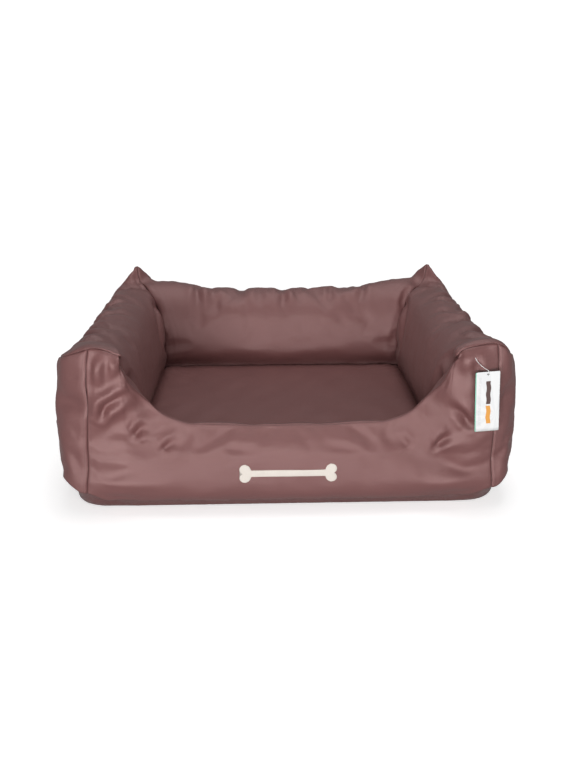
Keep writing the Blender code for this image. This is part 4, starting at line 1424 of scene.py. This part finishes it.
def makeCushionCore():
    # a foam block through plain loops
    loops = []
    for distance, height in pad["core"]:
        plan = padPlan(distance)
        loops.append(np.stack([plan[:, 0], plan[:, 1] + padMiddle, np.full(len(plan), height)], -1))
    return addLoft("cushion_core", np.array(loops), "cushion", paints["foam"], ("cushion_foam",))


for piece in (makeCushionTop(), makeCushionBottom(), makeCushionBorder()):
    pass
makeCushionCore()
print("cushion made")


# Zips: small teeth along each tape, and the metal sliders

zips = {
    "pitch": 0.0024,
    "radius": 0.00072,
    "length": 0.0030,
    "sides": 8,
    "apart": 0.0012,          # how far each row's rods lie from the join
    # body, half length, place in Y and Z, and the tape's lean
    "cover": ("bed", 0.299, 0.30222, 0.0295, 0.227),
    "cushion": ("cushion", 0.229, 0.19125, 0.0533, 0.0),
}


def addTeeth(name, body, half, y, z, lean):
    # two rows of short eight-sided rods across the join, set half a step apart, each with bevelled ends
    count = int(2 * half / zips["pitch"])
    turn = np.linspace(0, 2 * math.pi, zips["sides"], endpoint=False)[None, :]
    up = np.array([-1, -0.86, 0.86, 1])[:, None] * zips["length"] / 2
    size = np.array([0.6, 1, 1, 0.6])[:, None] * zips["radius"]
    rod = np.stack(np.broadcast_arrays(np.cos(turn) * size, np.sin(turn) * size, up), -1)
    rodFaces = loftFaces(*rod.shape[:2])
    rod = rod.reshape(-1, 3)
    x = -half + zips["pitch"] * (np.arange(2 * count) / 2 + 0.25)
    side = np.where(np.arange(2 * count) % 2, 1, -1) * zips["apart"]
    points = rod[None] + np.stack([x, y + lean * side, z + side], 1)[:, None, :]
    points[..., 1] += lean * rod[None, :, 2]
    faces = [[k * len(rod) + corner for corner in face] for k in range(len(x)) for face in rodFaces]
    points = points.reshape(-1, 3)
    if signedVolume(rod, rodFaces) < 0:
        faces = [face[::-1] for face in faces]
    return addPiece(name, points, faces, body, paints["coil"])


addTeeth("cover_zip_teeth", *zips["cover"])
addTeeth("cushion_zip_teeth", *zips["cushion"])


def dress(node, paint):
    # a CAD node shown as it is, in its own finish
    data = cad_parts[node].data
    data.materials.clear()
    data.materials.append(paint)


for node in ("cover_zip_upper", "cover_zip_lower", "cushion_zip_upper", "cushion_zip_lower"):
    dress(node, paints["tape"])
for node in ("cover_zip_slider", "cover_zip_pull", "cushion_zip_slider", "cushion_zip_pull"):
    dress(node, paints["metal"])
dress("tag_pin", paints["nylon"])
print("zips placed")


# The embroidered badge, a plain bone in satin stitch

badge = {
    "middle": 0.078,          # height of its middle
    "length": 0.172,
    "shaft": 0.0060,
    "lobe": 0.0090,
    "lobeSpread": 0.0080,
    "rise": 0.0012,
    "backing": 0.0022,
}


def frontSurface(x, z):
    # the sewn front's Y under each place, a Gaussian mean of the points round it
    spots = skins["front"][0].reshape(-1, 3)
    reach = np.abs(spots[:, [0, 2]] - [0, badge["middle"]])
    spots = spots[(reach < [badge["length"] / 2 + 0.02, 0.045]).all(axis=1)]
    y = np.zeros(x.shape)
    for column in range(x.shape[0]):
        gap = (x[column][:, None] - spots[None, :, 0]) ** 2 + (z[column][:, None] - spots[None, :, 2]) ** 2
        weight = np.exp(-gap / 0.0042**2) + 1e-12
        y[column] = (weight * spots[None, :, 1]).sum(1) / weight.sum(1)
    return y


def makeBadge():
    # a shaft that swells by a quarter ellipse into two round lobes at each end; past the lobes' centres
    # the rows run level out to the two circles, which leaves the dip between them
    b = np.linspace(-1, 1, 41)[None, :]
    centre = badge["length"] / 2 - badge["lobe"]
    tall = badge["lobeSpread"] + badge["lobe"]
    x = centre * np.sin(np.linspace(0, math.pi / 2, 90))[:, None] + 0 * b
    swell = (1 - np.clip((centre - x) / (1.25 * badge["lobe"]), 0, 1) ** 2) ** 0.6
    z = b * (badge["shaft"] + (tall - badge["shaft"]) * swell)
    beyond = np.sqrt(np.clip(badge["lobe"] ** 2 - (np.abs(b * tall) - badge["lobeSpread"]) ** 2, 0, None))
    t = np.linspace(0, 1, 16)[1:, None]
    x = np.concatenate([x, centre + t * beyond])
    z = np.concatenate([z, b * tall + 0 * t])
    x = np.concatenate([-x[:0:-1], x])
    z = np.concatenate([z[:0:-1], z])
    a = np.linspace(-1, 1, x.shape[0])[:, None]
    ragged = 0.0002 * waves(41, 5, 0.0016, 0.006, x) * np.abs(b) ** 6 * np.sign(b)
    z = badge["middle"] + z + ragged
    y = frontSurface(x, z)
    edge = np.minimum(1 - np.abs(b), (1 - np.abs(a)) * 14).clip(0, 1)
    dome = badge["rise"] * (0.30 + 0.70 * np.sqrt(1 - (1 - edge) ** 2)) + 0.0004
    grid = np.stack([x, y - dome, z], -1)
    back = np.stack([x, y + badge["backing"], z], -1)[:, ::-1]
    loops = np.concatenate([grid, back], axis=1)
    piece = addLoft("badge_bone", loops, "bed", paints["thread"], ("front_emblem",))
    addClothMap(piece.data, loops[..., [0, 2]].reshape(-1, 2))


makeBadge()
print("badge sewn on")


# The hang tag: a printed front leaf over a green one, two sheets not joined by a fold at the top

tag = {
    "width": 0.040,
    "height": finish["tagHeight"],
    "corner": 0.0016,
    "hole": 0.0019,
    "drop": 0.0045,
    "tilt": math.radians(4.0),
    "thickness": 0.00022,
    "holeX": 0.338,
    "holeZ": 0.2610,
}


def addLeaf(name, slide, lift, paint, bow, behind, stand=()):
    # rings from the punched hole out to the card's edge, bowed a little across its height
    low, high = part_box("hang_tag")
    middle = (low.y + high.y) / 2
    edge = roundedLoop(tag["width"] / 2, tag["height"] / 2, (tag["corner"],) * 4, 240)
    edge += np.array([slide, lift + tag["drop"] - tag["height"] / 2])
    hole = edge / np.linalg.norm(edge, axis=1, keepdims=True) * tag["hole"]
    share = np.array([0, 0.03, 0.09, 0.18, 0.30, 0.45, 0.62, 0.8, 0.93, 1.0])[:, None, None]
    flat = hole + (edge - hole) * share
    across, up = flat[..., 0], flat[..., 1]
    c, s = math.cos(tag["tilt"]), math.sin(tag["tilt"])
    x = tag["holeX"] + across * c - up * s
    z = tag["holeZ"] + across * s + up * c
    depth = bow * ((up / tag["height"]) ** 2 - 0.3 * (across / tag["width"]) ** 2)
    points = np.stack([x, middle + behind + depth, z], -1).reshape(-1, 3)
    quads = ringQuads(len(share), len(edge))
    uv = np.stack([across + tag["width"] / 2, up + tag["height"] - tag["drop"]], -1)
    if quadFacings(points, quads)[:, 1].sum() > 0:
        quads = quads[:, ::-1]
    piece = addPiece(name, points, quads, "hang_tag", paint, uv.reshape(-1, 2), stand)
    thicken(piece, tag["thickness"])


addLeaf("tag_front_leaf", 0.0, 0.0, paints["card"], -0.0022, -0.0003, ("hang_tag",))
addLeaf("tag_back_leaf", -0.0017, -0.0006, paints["leaf"], -0.0016, 0.00004)
print("tag hung")
